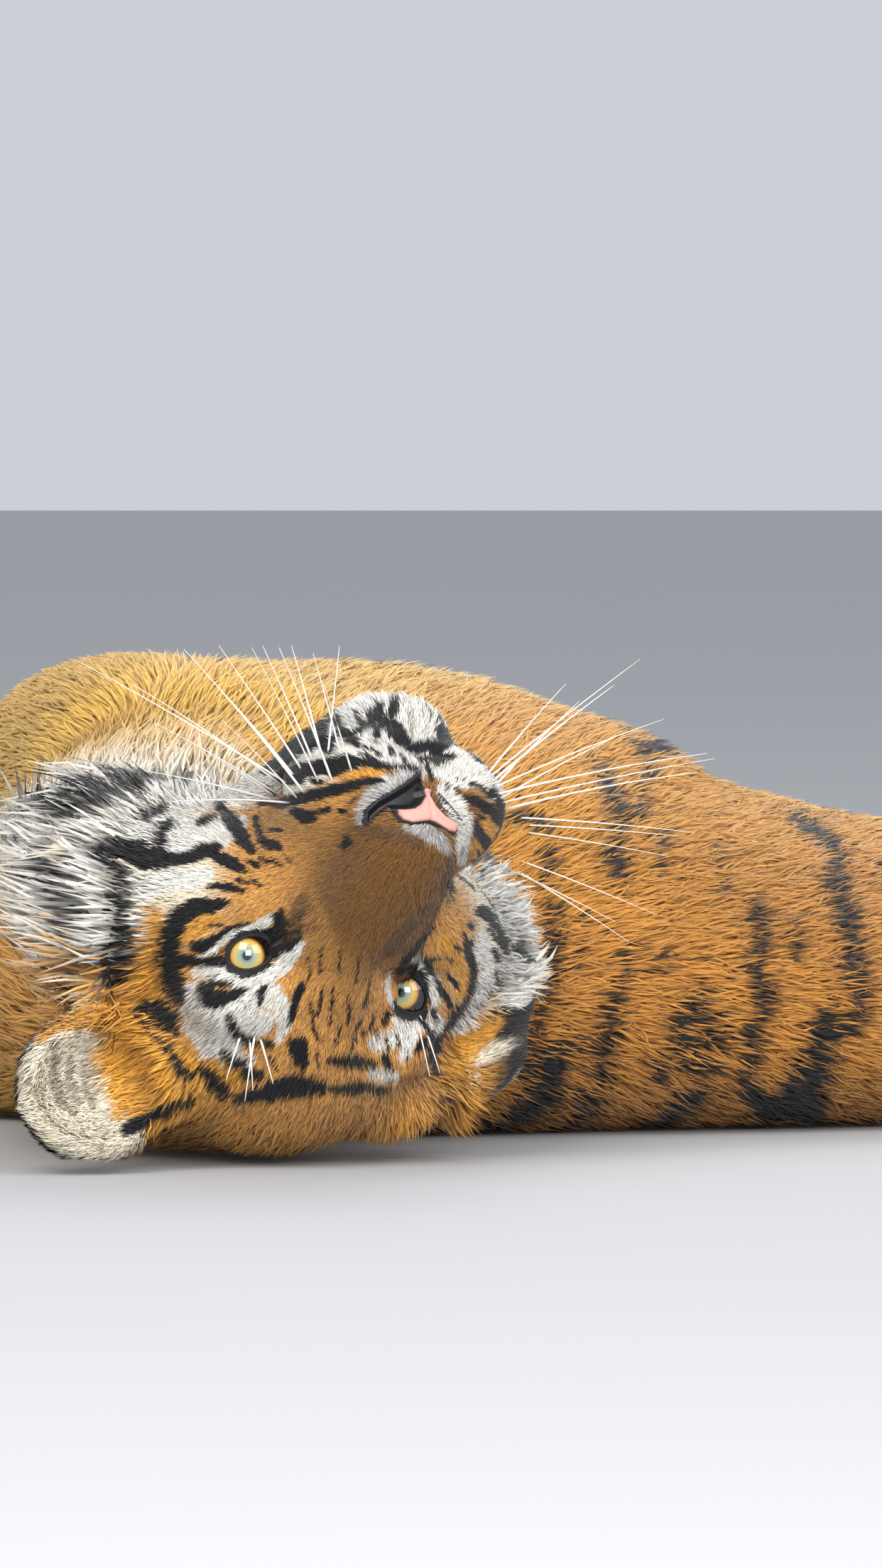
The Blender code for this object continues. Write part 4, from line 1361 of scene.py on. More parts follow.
def ear_colour(colour, surface):
    """Black backs with a white spot, cream hollows, and an orange front edge."""
    for name in EARS:
        own = in_ear(name, surface.head_places)
        near = np.linalg.norm(own - (0.5 * EAR_LENGTH, 0, 0), axis=1) < 0.08
        here = (is_ear(surface.head_places) & near & (own[:, 0] > 0.2 * EAR_LENGTH)
                & (np.abs(own[:, 2]) < 0.04))
        facing = surface.normals @ np.array(HEAD.to_3x3() @ ear_frame(name).to_3x3().col[2])
        from_spot = np.hypot(own[:, 0] - 0.55 * EAR_LENGTH, own[:, 1])
        back = tinted(BLACK_HAIR, WHITE_HAIR, ramp(-from_spot, -0.026, -0.016))
        back = tinted(back, ORANGE_HAIR, ramp(-own[:, 0], -0.55 * EAR_LENGTH, -0.30 * EAR_LENGTH))
        to_root = ramp(-own[:, 0], -0.42 * EAR_LENGTH, -0.18 * EAR_LENGTH)
        hollow = tinted(CREAM, ORANGE_HAIR, to_root)
        colour[here] = tinted(back, hollow, ramp(facing, -0.15, 0.25))[here]
    return colour


def ground_colour(surface):
    """The coat's colour before the marks, evened out but for the ears."""
    return ear_colour(relaxed(base_colour(surface), surface.edges, 10), surface)


def painted(colour, places, head_places, layers, mix):
    """The ground colour with the layers of marks over it.

    Where mix is given, each place takes one colour or the other, as hairs do.
    """
    on_head = head_weight(head_places)
    ragged = places + 0.0006 * waves(places, 0.010, 11)[:, None]
    soft = 0.0014 + 0.0050 * (1 - on_head)
    noise = waves(places, 0.05, 12) * 0.0025 * (1 - on_head)
    colour = colour.copy()
    for layer in layers:
        rows = np.flatnonzero((on_head >= layer.least) & (on_head <= layer.most))
        cover = layer.cover(ragged[rows], soft[rows], noise[rows])
        if mix is not None:
            cover = (mix[rows] < cover).astype(float)
        colour[rows] += (layer.colour - colour[rows]) * (cover * layer.strength)[:, None]
    return colour


# ---- Nose ------------------------------------------------------------------------------------
NOSE_EDGE = 0.0012           # how wide the dark edge is round the pad and the nostrils
RIGHT_HOLE_LESS = 0.0042     # how much narrower the right nostril shows
# Outlines of the left half of the nose in centimetres on the plane that the camera looks at.
PINK_HALF = ((-0.7, -0.1), (-0.95, -0.15), (-1.15, -0.3), (-0.98, -0.7), (-1.25, -1.2),
             (-1.6, -1.45), (-2.05, -1.5), (-2.6, -1.5), (-2.55, -1.8), (-2.25, -2.1),
             (-1.7, -2.25), (-0.9, -2.15), (-0.4, -2.1), (0.3, -1.2))
HOLE_HALF = ((-0.9, 0.85), (-0.75, 0.4), (-0.95, -0.2), (-1.15, -0.45), (-1.02, -0.75),
             (-1.3, -1.2), (-1.7, -1.43), (-2.2, -1.5), (-2.8, -1.5), (-3.35, -1.8), (-3.85, -2.4),
             (-4.35, -2.3), (-4.3, -1.6), (-3.65, -1.0), (-2.75, -0.5), (-1.95, 0.0), (-1.35, 0.5))


def depth_in(points, outline):
    """How deep inside an outline each point is, below 0 outside it."""
    corners = np.array(outline)
    nearest = np.full(len(points), np.inf)
    inside = np.zeros(len(points), dtype=bool)
    for (x0, y0), (x1, y1) in zip(corners, np.roll(corners, -1, axis=0)):
        along = np.array((x1 - x0, y1 - y0))
        t = np.clip(((points - (x0, y0)) @ along) / (along @ along), 0, 1)
        distance = np.linalg.norm(points - (x0, y0) - t[:, None] * along, axis=1)
        nearest = np.minimum(nearest, distance)
        crosses = (y0 > points[:, 1]) != (y1 > points[:, 1])
        crossing = x0 + (points[:, 1] - y0) / (y1 - y0 + 1e-12) * (x1 - x0)
        inside ^= crosses & (points[:, 0] < crossing)
    return np.where(inside, nearest, -nearest)


def nose_parts(head_places):
    """How deep each place is in the bare nose, in its pink pad and in a nostril."""
    left = head_places.copy()
    left[:, 1] = np.abs(left[:, 1])
    offset = out_of_head(left) - np.array(CAMERA_PLACE)
    offset *= (CAMERA_DISTANCE / (offset @ VIEW))[:, None]
    picture = np.stack([offset[:, 0] + CAMERA_PLACE.x - TARGET.x, offset @ np.array(PICTURE_UP)],
                       axis=1) * 100
    pink = depth_in(picture, PINK_HALF) / 100
    hole = depth_in(picture, HOLE_HALF) / 100 - RIGHT_HOLE_LESS * (head_places[:, 1] < 0)
    front = np.where((left[:, 0] > 0.075) & (left[:, 2] < -0.030) & (left[:, 2] > -0.10), 0.0, -1.0)
    return np.maximum(pink, hole) + NOSE_EDGE + front, pink + front, hole + front


# ---- Coat ------------------------------------------------------------------------------------
# Tufts of each part: length for the coat's depth, width for the length, and how many lie over each
# place.
TUFTS = {"trunk": (1.8, 0.052, 2.7), "neck": (2.0, 0.052, 2.7), "tail": (2.2, 0.065, 2.6),
         "foreleg": (2.4, 0.080, 2.2), "hindleg": (2.5, 0.088, 2.0)}
TUFTS_ON_HEAD = 3.1
TUFT_LENGTHS = (0.0065, 0.040)       # the shortest and the longest
TUFTS_IN_LOCK = 14
MOST_TUFTS = 65000                   # in one piece of coat
LOWEST_TUFT = 0.0004
DARK_TUFTS, DARK_TONE = 0.14, 0.62   # the share of darker tufts on the head, and their tone
# A tuft's three triangles between its five points, and these points' shifts in the UV map.
TUFT_FACES = np.array(((0, 3, 1), (0, 2, 3), (2, 4, 3)))
TUFT_UVS = np.array(((-0.0015, 0.0), (0.0015, 0.0), (-0.0012, 0.0015), (0.0012, 0.0015),
                     (0.0, 0.003)))


class Coat:
    """Every tuft of the coat, as arrays with one row for each."""

    def __init__(self, surface, layers):
        depth = coat_depth(surface)
        length, width, cover = self.sizes(surface, depth[:, 0])
        density = (1 - self.bareness(surface)) * cover / (0.5 * length * width)
        rows, weights = self.scatter(surface, density)

        def blend(values):
            """Values of the skin's vertices, blended for the tufts."""
            return (values[rows] * weights[:, :, None]).sum(axis=1)

        self.root = blend(surface.places)
        self.head_weight = head_weight(in_head(self.root))
        self.normal = unit(blend(surface.normals))
        lie = blend(lie_of_coat(surface))
        self.lie = unit(lie - self.normal * (lie * self.normal).sum(axis=1, keepdims=True))
        self.depth = blend(depth)[:, 0]
        self.width = blend(width[:, None])[:, 0]
        self.length = blend(length[:, None])[:, 0] * RNG.uniform(0.75, 1.15, len(rows))
        self.nearest, self.along, self.angle = TUBES.locate(self.root)
        x, y, _ = in_head(self.root).T
        ruff = ramp(np.abs(y), 0.080, 0.120) * ramp(-x, -0.02, 0.03)
        self.lift = 1 + ruff * self.head_weight
        self.shape(blend(ground_colour(surface)), layers)

    @staticmethod
    def sizes(surface, depth):
        """Length and width of the tufts, and how many lie over each place."""
        table = TUBES.by_kind(surface.nearest, TUFTS)
        length = np.clip(table[:, 0] * depth, *TUFT_LENGTHS)
        own_length = np.clip(2.2 * depth, *TUFT_LENGTHS)
        own_length *= 1 + 0.35 * ramp(np.abs(surface.head_places[:, 1]), 0.080, 0.120)
        own_width = own_length * np.interp(own_length, (0.012, 0.036), (0.080, 0.048))
        on_head = head_weight(surface.head_places)
        return (mixed(length, own_length, on_head), mixed(table[:, 1] * length, own_width, on_head),
                mixed(table[:, 2], TUFTS_ON_HEAD, on_head))

    @staticmethod
    def bareness(surface):
        """1 where no hair grows: eyeballs, lid edges, nose, and what lies on the floor."""
        head_places = surface.head_places
        eyes = [near_lids(head_places, side) < 0.0012 for side in (1, -1)]
        pad = (nose_parts(head_places)[0] > 0.0006) & (head_places[:, 0] > 0.08)
        lying = (surface.places[:, 2] < 0.012) & (surface.normals[:, 2] < -0.75)
        return (eyes[0] | eyes[1] | pad | lying).astype(float)

    @staticmethod
    def scatter(surface, density):
        """Triangles and weights for places spread over the skin by density."""
        corners = surface.places[surface.triangles]
        across, along = corners[:, 1] - corners[:, 0], corners[:, 2] - corners[:, 0]
        area = np.linalg.norm(np.cross(across, along), axis=1) / 2
        expected = area * density[surface.triangles].mean(axis=1)
        count = (expected + RNG.uniform(0, 1, len(expected))).astype(int)
        rows = surface.triangles[np.repeat(np.arange(len(count)), count)]
        one, other = RNG.uniform(0, 1, (2, len(rows)))
        over = one + other > 1
        one[over], other[over] = 1 - one[over], 1 - other[over]
        return rows, np.stack([1 - one - other, one, other], axis=1)

    def shape(self, colour, layers):
        """Lays out each tuft: its five points, its colours and how its strands run."""
        count = len(self.root)
        side = np.cross(self.normal, self.lie)
        yaw = RNG.normal(0, 0.16, count)[:, None]
        along = self.lie * np.cos(yaw) + side * np.sin(yaw)
        side = np.cross(self.normal, along)
        roll = RNG.normal(0, 0.45, count)[:, None]
        flat = side * np.cos(roll) + self.normal * np.sin(roll)
        length, half = self.length[:, None], self.width[:, None] / 2
        height = (self.depth * self.lift * RNG.uniform(0.30, 0.90, count))[:, None]
        sway = RNG.normal(0, 0.06, count)[:, None] * length
        middle = self.root + along * length * 0.5 + self.normal * height * 0.75 + side * sway * 0.3
        tip = self.clumped(self.root + along * length + self.normal * height + side * sway)
        root = self.root - self.normal * 0.0010
        self.points = np.stack([root - flat * half * 0.8, root + flat * half * 0.8,
                                middle - flat * half, middle + flat * half, tip], axis=1)
        self.points[:, :, 2] = np.maximum(self.points[:, :, 2], LOWEST_TUFT)
        mix = RNG.uniform(0, 1, count)
        levels = (self.root + along * length * 0.2, middle, tip)
        colours = np.stack([painted(colour, places, in_head(self.root), layers, mix)
                            for places in levels], axis=1)
        tone = 1 + RNG.normal(0, 1, count) * (0.09 + 0.06 * self.head_weight)
        tone *= np.where(RNG.uniform(0, 1, count) < DARK_TUFTS * self.head_weight, DARK_TONE, 1.0)
        # Painted shade and light: each tuft's root is darkened to half for the shadow deep in the
        # coat, and its tip is lightened a little where the light reaches it.
        shade = np.array((0.50, 0.50, 0.95, 0.95, 1.08))[None, :, None]
        tints = colours[:, (0, 0, 1, 1, 2), :] * shade * tone[:, None, None]
        self.tints = np.clip(tints, 0.002, 0.95)
        rounded = np.array((-0.45, 0.45, -0.45, 0.45, 0.0))[None, :, None]
        facing = self.normal * 0.85 + along * 0.30
        self.facing = unit(facing[:, None, :] + side[:, None, :] * rounded)
        across = np.array((-0.4, 0.4, -0.5, 0.5, 0.0)) * self.width[:, None]
        ahead = np.array((0.0, 0.0, 0.5, 0.5, 1.0)) * self.length[:, None] * 0.05
        own = np.broadcast_to(RNG.uniform(0, 20, count)[:, None], across.shape)
        self.strands = np.stack([across * 1000, ahead * 1000, own], axis=2)

    def clumped(self, tip):
        """Draws the tips of long hair together into locks."""
        long = np.flatnonzero(self.depth > 0.008)
        centres = RNG.choice(long, len(long) // TUFTS_IN_LOCK, replace=False)
        tree = KDTree(len(centres))
        for i, row in enumerate(centres):
            tree.insert(tip[row], i)
        tree.balance()
        nearest = np.array([centres[tree.find(place)[1]] for place in tip[long]])
        pull = (RNG.uniform(0.15, 0.55, len(long)) * ramp(self.depth[long], 0.008, 0.013))[:, None]
        tip[long] += (tip[nearest] - tip[long]) * pull
        return tip

    def unwrap(self):
        """Each tuft's place on the skin, unrolled: round the part, and along it."""
        own = in_head(self.root) - HEAD_MIDDLE
        around_head = np.arctan2(own[:, 1], own[:, 2])
        along_head = np.arccos(np.clip(own[:, 0] / np.linalg.norm(own, axis=1), -1, 1))
        on_head = self.head_weight > 0.5
        return (np.where(on_head, around_head, self.angle) / (2 * math.pi) + 0.5,
                np.where(on_head, along_head, self.along))

    def build(self, material):
        """Makes the pieces of coat, each of one part of the body."""
        around, way = self.unwrap()
        names = np.where(self.head_weight > 0.5, "head", TUBES.by_kind(self.nearest))
        for name in ("head", "neck", "trunk", "foreleg", "hindleg", "tail"):
            rows = np.flatnonzero(names == name)
            order = rows[np.argsort(way[rows])]
            share = max(1, math.ceil(len(order) / MOST_TUFTS))
            for k, chosen in enumerate(np.array_split(order, share)):
                self.build_piece(f"coat_{name}_{k + 1}", material, chosen, around[chosen],
                                 way[chosen])

    def build_piece(self, name, material, rows, around, way):
        """Makes one piece of coat, spread over the whole of its UV map."""
        triangles = (np.arange(len(rows))[:, None, None] * 5 + TUFT_FACES).reshape(-1, 3)
        along = (way - way.min()) / (way.max() - way.min())
        place = np.stack([around, along], axis=1) * 0.99 + 0.004
        uvs = (place[:, None, :] + TUFT_UVS).reshape(-1, 2)
        points, tints, facing, strands = (
            values[rows].reshape(-1, 3)
            for values in (self.points, self.tints, self.facing, self.strands))
        mesh = mesh_from_arrays(name, points, triangles, tints, uvs, facing, strands)
        mesh.materials.append(material)
        piece = new_object(name, mesh)
        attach(piece, BODY)


# ---- Eyes, nose, whiskers and claws ----------------------------------------------------------
# The eye's colours from the middle of the pupil outwards: degrees, and display values.
IRIS = ((0, (8, 12, 26)), (7.8, (10, 14, 28)), (9.6, (96, 118, 122)), (14, (132, 148, 122)),
        (21, (158, 160, 110)), (26, (194, 160, 76)), (32, (182, 138, 50)), (35.5, (128, 84, 28)),
        (37.5, (40, 28, 20)), (41, (18, 15, 16)), (180, (22, 18, 18)))
CLAW_LENGTH, CLAW_RADIUS = 0.018, 0.0032


def make_eye(name, side, material):
    """An eyeball with its iris and pupil, its pole towards what the animal looks at."""
    centre = HEAD @ Vector((EYE_CENTRE.x, side * EYE_CENTRE.y, EYE_CENTRE.z))
    gaze = (HEAD.to_3x3() @ GAZE[side]).normalized()
    bm = bmesh.new()
    place = Matrix.Translation(centre) @ gaze.to_track_quat("Z", "Y").to_matrix().to_4x4()
    bmesh.ops.create_uvsphere(bm, u_segments=128, v_segments=112, radius=EYE_RADIUS, matrix=place)
    bmesh.ops.triangulate(bm, faces=bm.faces)
    mesh = to_mesh(bm, name)
    places = read_array(mesh.vertices, "co", 3)
    triangles = read_array(mesh.polygons, "vertices", 3, np.int32)
    bpy.data.meshes.remove(mesh)
    own = (places - np.array(centre)) @ np.array(place.to_3x3())
    off_axis = np.degrees(np.arccos(np.clip(own[:, 2] / EYE_RADIUS, -1, 1)))
    round_axis = np.arctan2(own[:, 1], own[:, 0])
    angles, tones = zip(*IRIS)
    tones = np.array([linear(*tone) for tone in tones])
    colours = np.stack([np.interp(off_axis, angles, tones[:, k]) for k in range(3)], axis=1)
    fibres = sum(np.sin(round_axis * count + k) for k, count in enumerate((37, 61, 89))) / 3
    in_iris = ((off_axis > 10) & (off_axis < 36))[:, None]
    colours = colours * (1 + 0.14 * fibres[:, None] * in_iris)
    bulge = 1 + 0.035 * np.clip(1 - (off_axis / 42) ** 2, 0, 1)
    places = np.array(centre) + (places - np.array(centre)) * bulge[:, None]
    mesh = mesh_from_arrays(name, places, triangles, colours)
    mesh.materials.append(material)
    eye = new_object(f"eyeball_{name.split('_')[1]}", mesh)
    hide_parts(name)
    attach(eye, BODY)


def make_nose(tree, material):
    """The bare nose: a pink pad, wide above and narrow below, between two nostrils painted nearly
    black for the shade inside them.
    """
    y, z = np.meshgrid(np.linspace(-0.040, 0.040, 201), np.linspace(-0.088, -0.036, 131),
                       indexing="ij")
    start = out_of_head(np.stack([np.full(y.size, 0.22), y.ravel(), z.ravel()], axis=1))
    back = Vector(AXES @ np.array((-1.0, 0.0, 0.0)))
    hits = [tree.ray_cast(Vector(place), back)[0] for place in start]
    reach = np.array([0.0 if hit is None else (HEAD_INVERSE @ hit).x for hit in hits])
    reach = np.where(reach < 0.06, 0.06, reach).reshape(y.shape)
    for _ in range(6):
        reach[1:-1, 1:-1] += 0.6 * ((reach[:-2, 1:-1] + reach[2:, 1:-1] + reach[1:-1, :-2]
                                     + reach[1:-1, 2:]) / 4 - reach[1:-1, 1:-1])
    flat = np.stack([reach.ravel(), y.ravel(), z.ravel()], axis=1)
    bare, pink, hole = nose_parts(flat)
    rise = -0.0040 + 0.0052 * ramp(bare, -0.0020, 0.0012) + 0.0030 * ramp(pink, -0.0012, 0.0020)
    rise -= 0.0036 * ramp(hole, -0.0002, 0.0040) + 0.0012 * np.exp(-(flat[:, 1] / 0.0008) ** 2)
    places = out_of_head(flat + rise[:, None] * unit(np.array((1.0, 0.0, 0.15))))
    grid = np.arange(y.size).reshape(y.shape)
    corners = [part.ravel()
               for part in (grid[:-1, :-1], grid[1:, :-1], grid[1:, 1:], grid[:-1, 1:])]
    near = np.stack([bare[c] for c in corners]).max(axis=0) > -0.0035
    one, two, three, four = (c[near] for c in corners)
    triangles = np.concatenate([np.stack([one, two, three], 1), np.stack([one, three, four], 1)])
    used, triangles = np.unique(triangles, return_inverse=True)
    triangles = triangles.reshape(-1, 3)
    edge = linear(42, 38, 42)
    colours = edge + (linear(214, 152, 140) - edge) * ramp(pink, -0.0003, 0.0006)[:, None]
    # Painted shade: the nostrils are painted nearly black for the dark inside the openings, over a
    # shallow recess.
    colours += (linear(10, 10, 14) - colours) * ramp(hole, -0.0012, 0.0004)[:, None]
    colours *= 1 + 0.05 * waves(flat, 0.006, 5)[:, None]
    mesh = mesh_from_arrays("nose_pad", places[used], triangles, colours[used])
    nose = new_object("nose_pad", mesh)
    thick = nose.modifiers.new("thick", "SOLIDIFY")
    thick.thickness = 0.003
    thick.offset = -1.0
    apply_modifiers(nose)
    nose.data.materials.append(material)
    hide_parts("nose")
    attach(nose, BODY)


def add_hair(bm, root, direction, sag, length, radius, sides=5, rings=9):
    """A stiff hair that tapers from its root to its tip."""
    points = [root + direction * (length * t) + sag * (length * t * t)
              for t in (k / (rings - 1) for k in range(rings))]
    loops = []
    for k, point in enumerate(points):
        ahead = (points[min(k + 1, rings - 1)] - points[max(k - 1, 0)]).normalized()
        size = radius * (1 - 0.85 * k / (rings - 1))
        loops.append(round_ring(bm, point, ahead.orthogonal().normalized(), ahead, size, sides))
    join_rings(bm, loops)
    bm.faces.new(list(reversed(loops[0])))
    bm.faces.new(loops[-1])


def piece_of(bm, name, material):
    """A smooth piece of one material."""
    mesh = to_mesh(bm, name)
    mesh.shade_smooth()
    mesh.materials.append(material)
    return new_object(name, mesh)


# Whiskers: root and tip in centimetres on the plane that the camera looks at, and how far the tip
# comes towards the camera, in metres.
WHISKERS = [
    (-8.0, 0.8, -14.4, 10.4, 0.03), (-7.4, 1.4, -12.1, 12.2, 0.02), (-6.9, 1.8, -8.8, 8.7, 0.00),
    (-6.5, 1.7, -5.8, 8.3, 0.01), (-8.8, -0.0, -21.1, 7.2, 0.05), (-9.0, -0.2, -18.0, 5.9, 0.06),
    (-9.2, -0.7, -16.6, 3.6, 0.07), (-9.4, -1.0, -17.2, 0.8, 0.08), (-8.6, -1.1, -15.6, -1.0, 0.09),
    (-7.8, -0.6, -14.9, 7.9, 0.05), (-6.2, -0.0, -10.0, 9.6, 0.08), (-5.8, 1.8, -7.4, 7.7, 0.03),
    (-8.4, 0.4, -13.1, 5.9, 0.02), (-7.0, -0.0, -11.1, 8.3, 0.07), (-5.1, 0.6, -6.8, 5.9, 0.06),
    (-9.6, -0.7, -13.5, 1.8, 0.04), (-8.2, -0.9, -12.7, 3.8, 0.07), (2.8, 0.4, 11.6, 7.3, -0.04),
    (3.0, 0.2, 10.1, 5.8, -0.02), (3.1, -0.2, 13.0, 3.8, -0.02), (3.2, -0.6, 15.5, 1.8, 0.00),
    (3.4, -1.1, 15.9, 1.5, 0.02), (3.5, -1.5, 14.9, 0.7, 0.03), (3.5, -1.9, 14.7, -2.8, 0.03),
    (3.5, -2.3, 13.8, -3.0, 0.02), (3.4, -2.6, 13.3, -4.2, 0.02), (3.1, -3.9, 12.6, -7.6, 0.03),
    (3.0, -4.2, 11.0, -9.2, 0.04), (2.8, -4.4, 10.2, -8.0, 0.03), (3.2, -0.0, 8.1, 4.9, -0.03),
    (3.3, -0.9, 10.6, 3.0, 0.00), (2.4, 0.2, 7.3, 5.9, -0.03), (-11.0, -14.6, -10.8, -17.8, 0.02),
    (-10.7, -14.4, -11.3, -18.4, 0.03), (-10.4, -14.6, -9.6, -17.4, 0.02),
    (-11.5, -14.4, -12.4, -17.2, 0.02), (-1.3, -13.9, -0.6, -17.0, 0.02),
    (-0.9, -14.1, 0.0, -16.8, 0.01),
]
HIGHEST = CAD_BOX[1][2] + 0.0145     # of a whisker's tip


def make_whiskers(tree, material):
    """Whiskers on the pads and a few over the eyes."""
    bm = bmesh.new()
    for right, up, tip_right, tip_up, nearer in WHISKERS:
        ray = seen(right, up)
        place = tree.ray_cast(CAMERA_PLACE, ray)[0]
        depth = (place - CAMERA_PLACE).dot(ray) - 0.9 * nearer
        tip = CAMERA_PLACE + seen(tip_right, tip_up) * depth
        if tip.z > HIGHEST:
            tip = place + (tip - place) * ((HIGHEST - place.z) / (tip.z - place.z))
        reach = (tip - place).length
        aim = (tip - place) / reach
        sag = Vector((0.0, -0.03, -0.05)) * RNG.uniform(0.6, 1.4)
        add_hair(bm, place - aim * 0.002, aim - sag, sag, reach, RNG.uniform(0.0006, 0.0009))
    whiskers = piece_of(bm, "whiskers", material)
    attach(whiskers, BODY)


def make_claws(name, material):
    """A short curved claw at the end of each toe, nearly hidden by the hair."""
    bm = bmesh.new()
    axes = paw_axes(name)
    aim = axes.to_3x3() @ Vector((1.0, 0.15, 0.0)).normalized()
    bend = axes.to_3x3() @ Vector((-0.05, 0.45, -0.10))
    for place in toe_places(name):
        root = axes @ (place + Vector((0.010, 0.0, 0.0)))
        add_hair(bm, root, aim, bend, CLAW_LENGTH, CLAW_RADIUS, sides=8, rings=7)
    claws = piece_of(bm, f"claws_{name}", material)
    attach(claws, BODY)


# ---- Materials -------------------------------------------------------------------------------
def material_of(name, roughness, grain, grain_size, bump=0.0, colour=None, strands=False,
                **sockets):
    """A Principled material: its own tint or one colour, with grain in it and a fine bump."""
    material = bpy.data.materials.new(name)
    material.use_nodes = True
    nodes, links = material.node_tree.nodes, material.node_tree.links
    shader = nodes["Principled BSDF"]
    shader.inputs["Roughness"].default_value = roughness
    for socket, value in sockets.items():
        shader.inputs[socket.replace("_", " ")].default_value = value
    noise = nodes.new("ShaderNodeTexNoise")
    noise.inputs["Scale"].default_value = 1 / grain_size
    noise.inputs["Detail"].default_value = 3.0
    if strands:
        coordinates = nodes.new("ShaderNodeAttribute")
        coordinates.attribute_name = "strand"
        links.new(coordinates.outputs["Vector"], noise.inputs["Vector"])
    else:
        coordinates = nodes.new("ShaderNodeTexCoord")
        links.new(coordinates.outputs["Object"], noise.inputs["Vector"])
    spread = nodes.new("ShaderNodeMapRange")
    spread.inputs["To Min"].default_value = 1 - grain
    spread.inputs["To Max"].default_value = 1 + grain
    links.new(noise.outputs["Fac"], spread.inputs["Value"])
    mix = nodes.new("ShaderNodeVectorMath")
    mix.operation = "SCALE"
    if colour is None:
        tint = nodes.new("ShaderNodeAttribute")
        tint.attribute_name = "tint"
        links.new(tint.outputs["Color"], mix.inputs[0])
    else:
        mix.inputs[0].default_value = colour
    links.new(spread.outputs["Result"], mix.inputs["Scale"])
    links.new(mix.outputs["Vector"], shader.inputs["Base Color"])
    if bump:
        relief = nodes.new("ShaderNodeBump")
        relief.inputs["Strength"].default_value = bump
        relief.inputs["Distance"].default_value = 0.001
        links.new(noise.outputs["Fac"], relief.inputs["Height"])
        links.new(relief.outputs["Normal"], shader.inputs["Normal"])
    return material


# ---- Studio ----------------------------------------------------------------------------------
LIGHTS = (("key", (-2.5, -5.8, 5.0), 4.3, 356.0, (1.0, 0.97, 0.93)),
          ("fill", (4.3, -5.0, 3.2), 4.7, 243.0, (0.97, 0.98, 1.0)),
          ("low", (0.3, -7.0, 1.3), 2.9, 310.0, (1.0, 0.98, 0.95)),
          ("rim", (0.4, 2.8, 2.6), 2.4, 70.0, (1.0, 1.0, 1.0)))
LIT_PLACE = (-0.1, -0.2, 0.1)


def make_studio():
    """A pale floor, soft light from above and in front, and the camera."""
    bpy.ops.mesh.primitive_plane_add(size=60.0, location=(0, 0, 0))
    floor = bpy.context.object
    floor.name = "floor"
    pale = material_of("pale_floor", 0.9, 0.02, 0.5, colour=(0.47, 0.475, 0.485))
    floor.data.materials.append(pale)
    world = bpy.data.worlds.new("studio")
    world.use_nodes = True
    sky = world.node_tree.nodes["Background"].inputs
    sky["Color"].default_value = (0.80, 0.84, 0.90, 1.0)
    sky["Strength"].default_value = 0.75
    bpy.context.scene.world = world
    for name, place, size, energy, colour in LIGHTS:
        light = bpy.data.lights.new(name, "AREA")
        light.energy, light.size, light.color = energy, size, colour
        aim_at(new_object(name, light), place, LIT_PLACE)
    camera = bpy.data.cameras.new("camera")
    camera.lens = CAMERA_LENS
    camera.clip_end = 100.0
    eye = new_object("camera", camera)
    aim_at(eye, CAMERA_PLACE, TARGET)
    bpy.context.scene.camera = eye
    bpy.context.scene.view_settings.view_transform = "Standard"


def aim_at(thing, place, target):
    """Puts a light or the camera in its place, turned to what it looks at."""
    thing.location = place
    thing.rotation_euler = (Vector(target) - Vector(place)).to_track_quat("-Z", "Y").to_euler()


def marking_layers(tree):
    """The layers of marks, the lowest first."""
    layers = [Layer(colour, strokes_on_skin(marks.values(), tree), strength=strength)
              for colour, marks, strength in (
                  (WHITE_HAIR, WHITE, 1.0), (ORANGE_HAIR, ORANGE, 0.9), (GREY_HAIR, GREY, 0.9),
                  (SHADE_HAIR, SHADE, 0.6), (BLACK_HAIR, BLACK, 1.0))]
    on_body = strokes_on_skin([BLACK_ON_BODY], tree)[:1]
    layers.append(Layer(BLACK_HAIR, on_body, least=0.0, most=0.5))
    guessed = [Discs(*body_stripes(tree)), Discs(*crown_stripes(tree))]
    layers.append(Layer(BLACK_HAIR, guessed, least=0.0))
    return layers


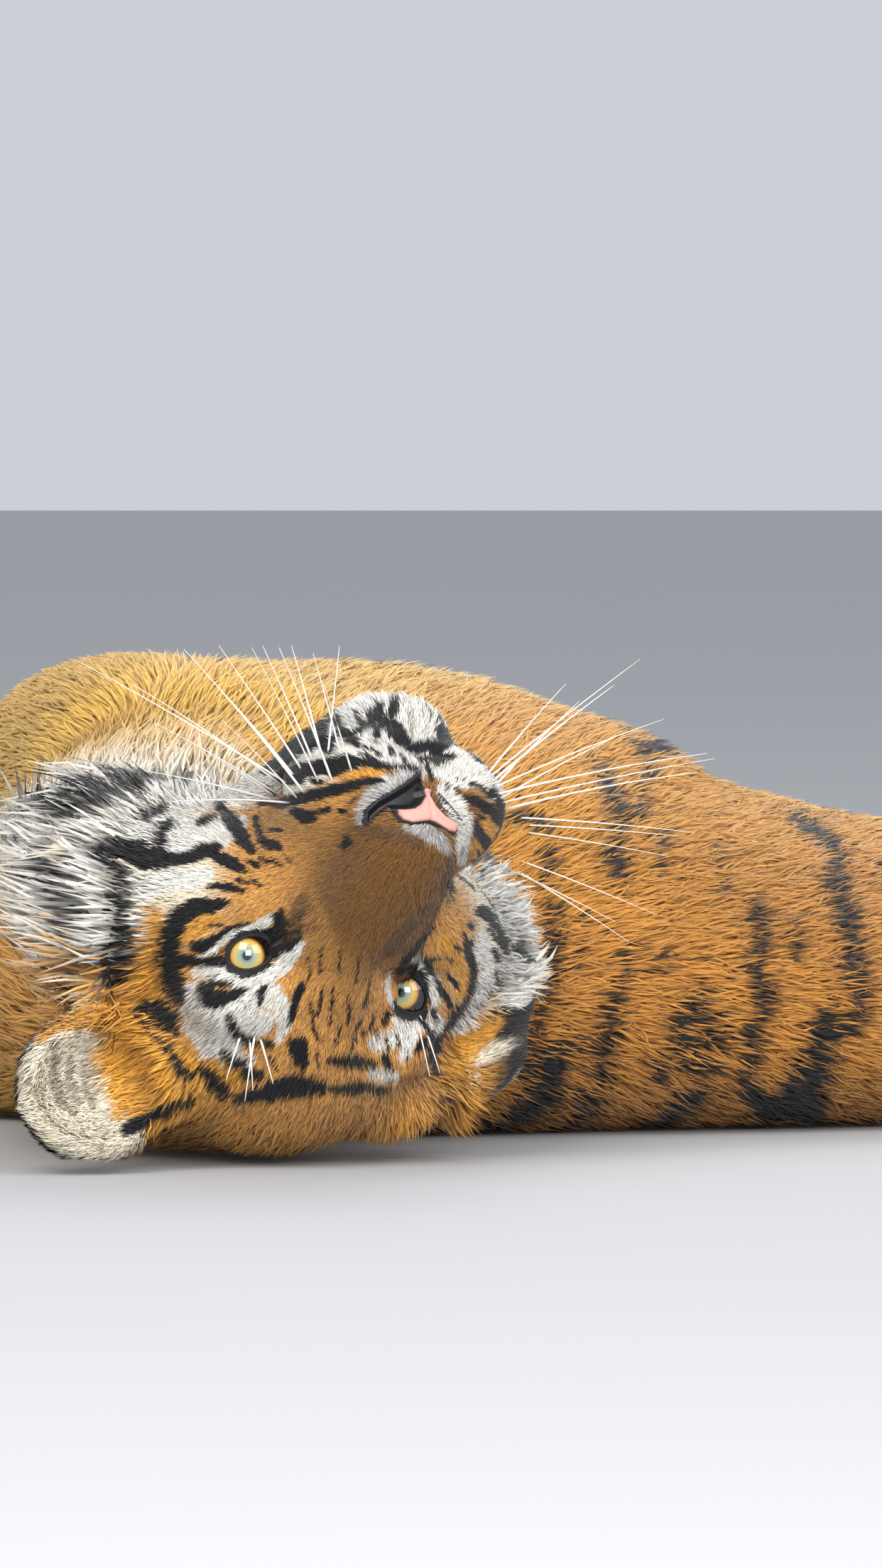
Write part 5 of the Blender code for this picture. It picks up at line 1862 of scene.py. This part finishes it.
def sink_nose(skin):
    """Sinks the skin behind the bare nose."""
    head_places = in_head(read_array(skin.data.vertices, "co", 3))
    bare = nose_parts(head_places)[0]
    head_places[:, 0] -= 0.014 * ramp(bare, -0.0008, 0.0014)
    put_vertices(skin.data, out_of_head(head_places))


def colour_skin(skin, layers, material):
    """The coat's colours on the skin, with painted shade: darker, as in the shadow of the hair over
    it; and bare black rims at the eyes.
    """
    surface = Surface(skin.data)
    colour = painted(ground_colour(surface), surface.places, surface.head_places, layers, None)
    # Painted shade: the skin is darkened for the shadow that the coat casts on it.
    colour *= 0.6
    for side in (1, -1):
        rim = ramp(-near_lids(surface.head_places, side), -0.0040, -0.0022)
        colour = tinted(colour, BARE_BLACK, rim)
    set_tint(skin.data, colour)
    skin.data.shade_smooth()
    skin.data.materials.clear()
    skin.data.materials.append(material)


def add_rims(skin):
    """Joins the bare rims of the lids to the skin."""
    bm = bmesh.new()
    bm.from_mesh(skin.data)
    eyelid_rims(bm)
    bmesh.ops.recalc_face_normals(bm, faces=bm.faces)
    bm.to_mesh(skin.data)
    bm.free()


def main():
    make_studio()
    skin = make_skin()
    surface = Surface(skin.data)
    tree = BVHTree.FromPolygons(surface.places.tolist(), surface.triangles.tolist())
    layers = marking_layers(tree)
    hair = material_of("coat_hair", 0.60, 0.55, 0.35, bump=0.6, strands=True,
                       Specular_IOR_Level=0.30, Sheen_Weight=0.12)
    Coat(surface, layers).build(hair)
    make_nose(tree, material_of("bare_nose", 0.45, 0.08, 0.0012, bump=0.25))
    sink_nose(skin)
    add_rims(skin)
    colour_skin(skin, layers, material_of("skin_under_coat", 0.8, 0.15, 0.002, bump=0.4))
    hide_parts(*[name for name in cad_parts
                        if name not in ("eye_left", "eye_right", "nose")])
    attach(skin, BODY)
    wet = material_of("wet_eye", 0.10, 0.03, 0.001, Coat_Weight=1.0, Coat_Roughness=0.02)
    make_eye("eye_left", 1, wet)
    make_eye("eye_right", -1, wet)
    make_whiskers(tree, material_of("whisker", 0.35, 0.05, 0.01, colour=(0.86, 0.82, 0.74)))
    horn = material_of("horn", 0.35, 0.15, 0.003, colour=(0.55, 0.48, 0.40))
    for name in PAWS:
        make_claws(name, horn)


main()
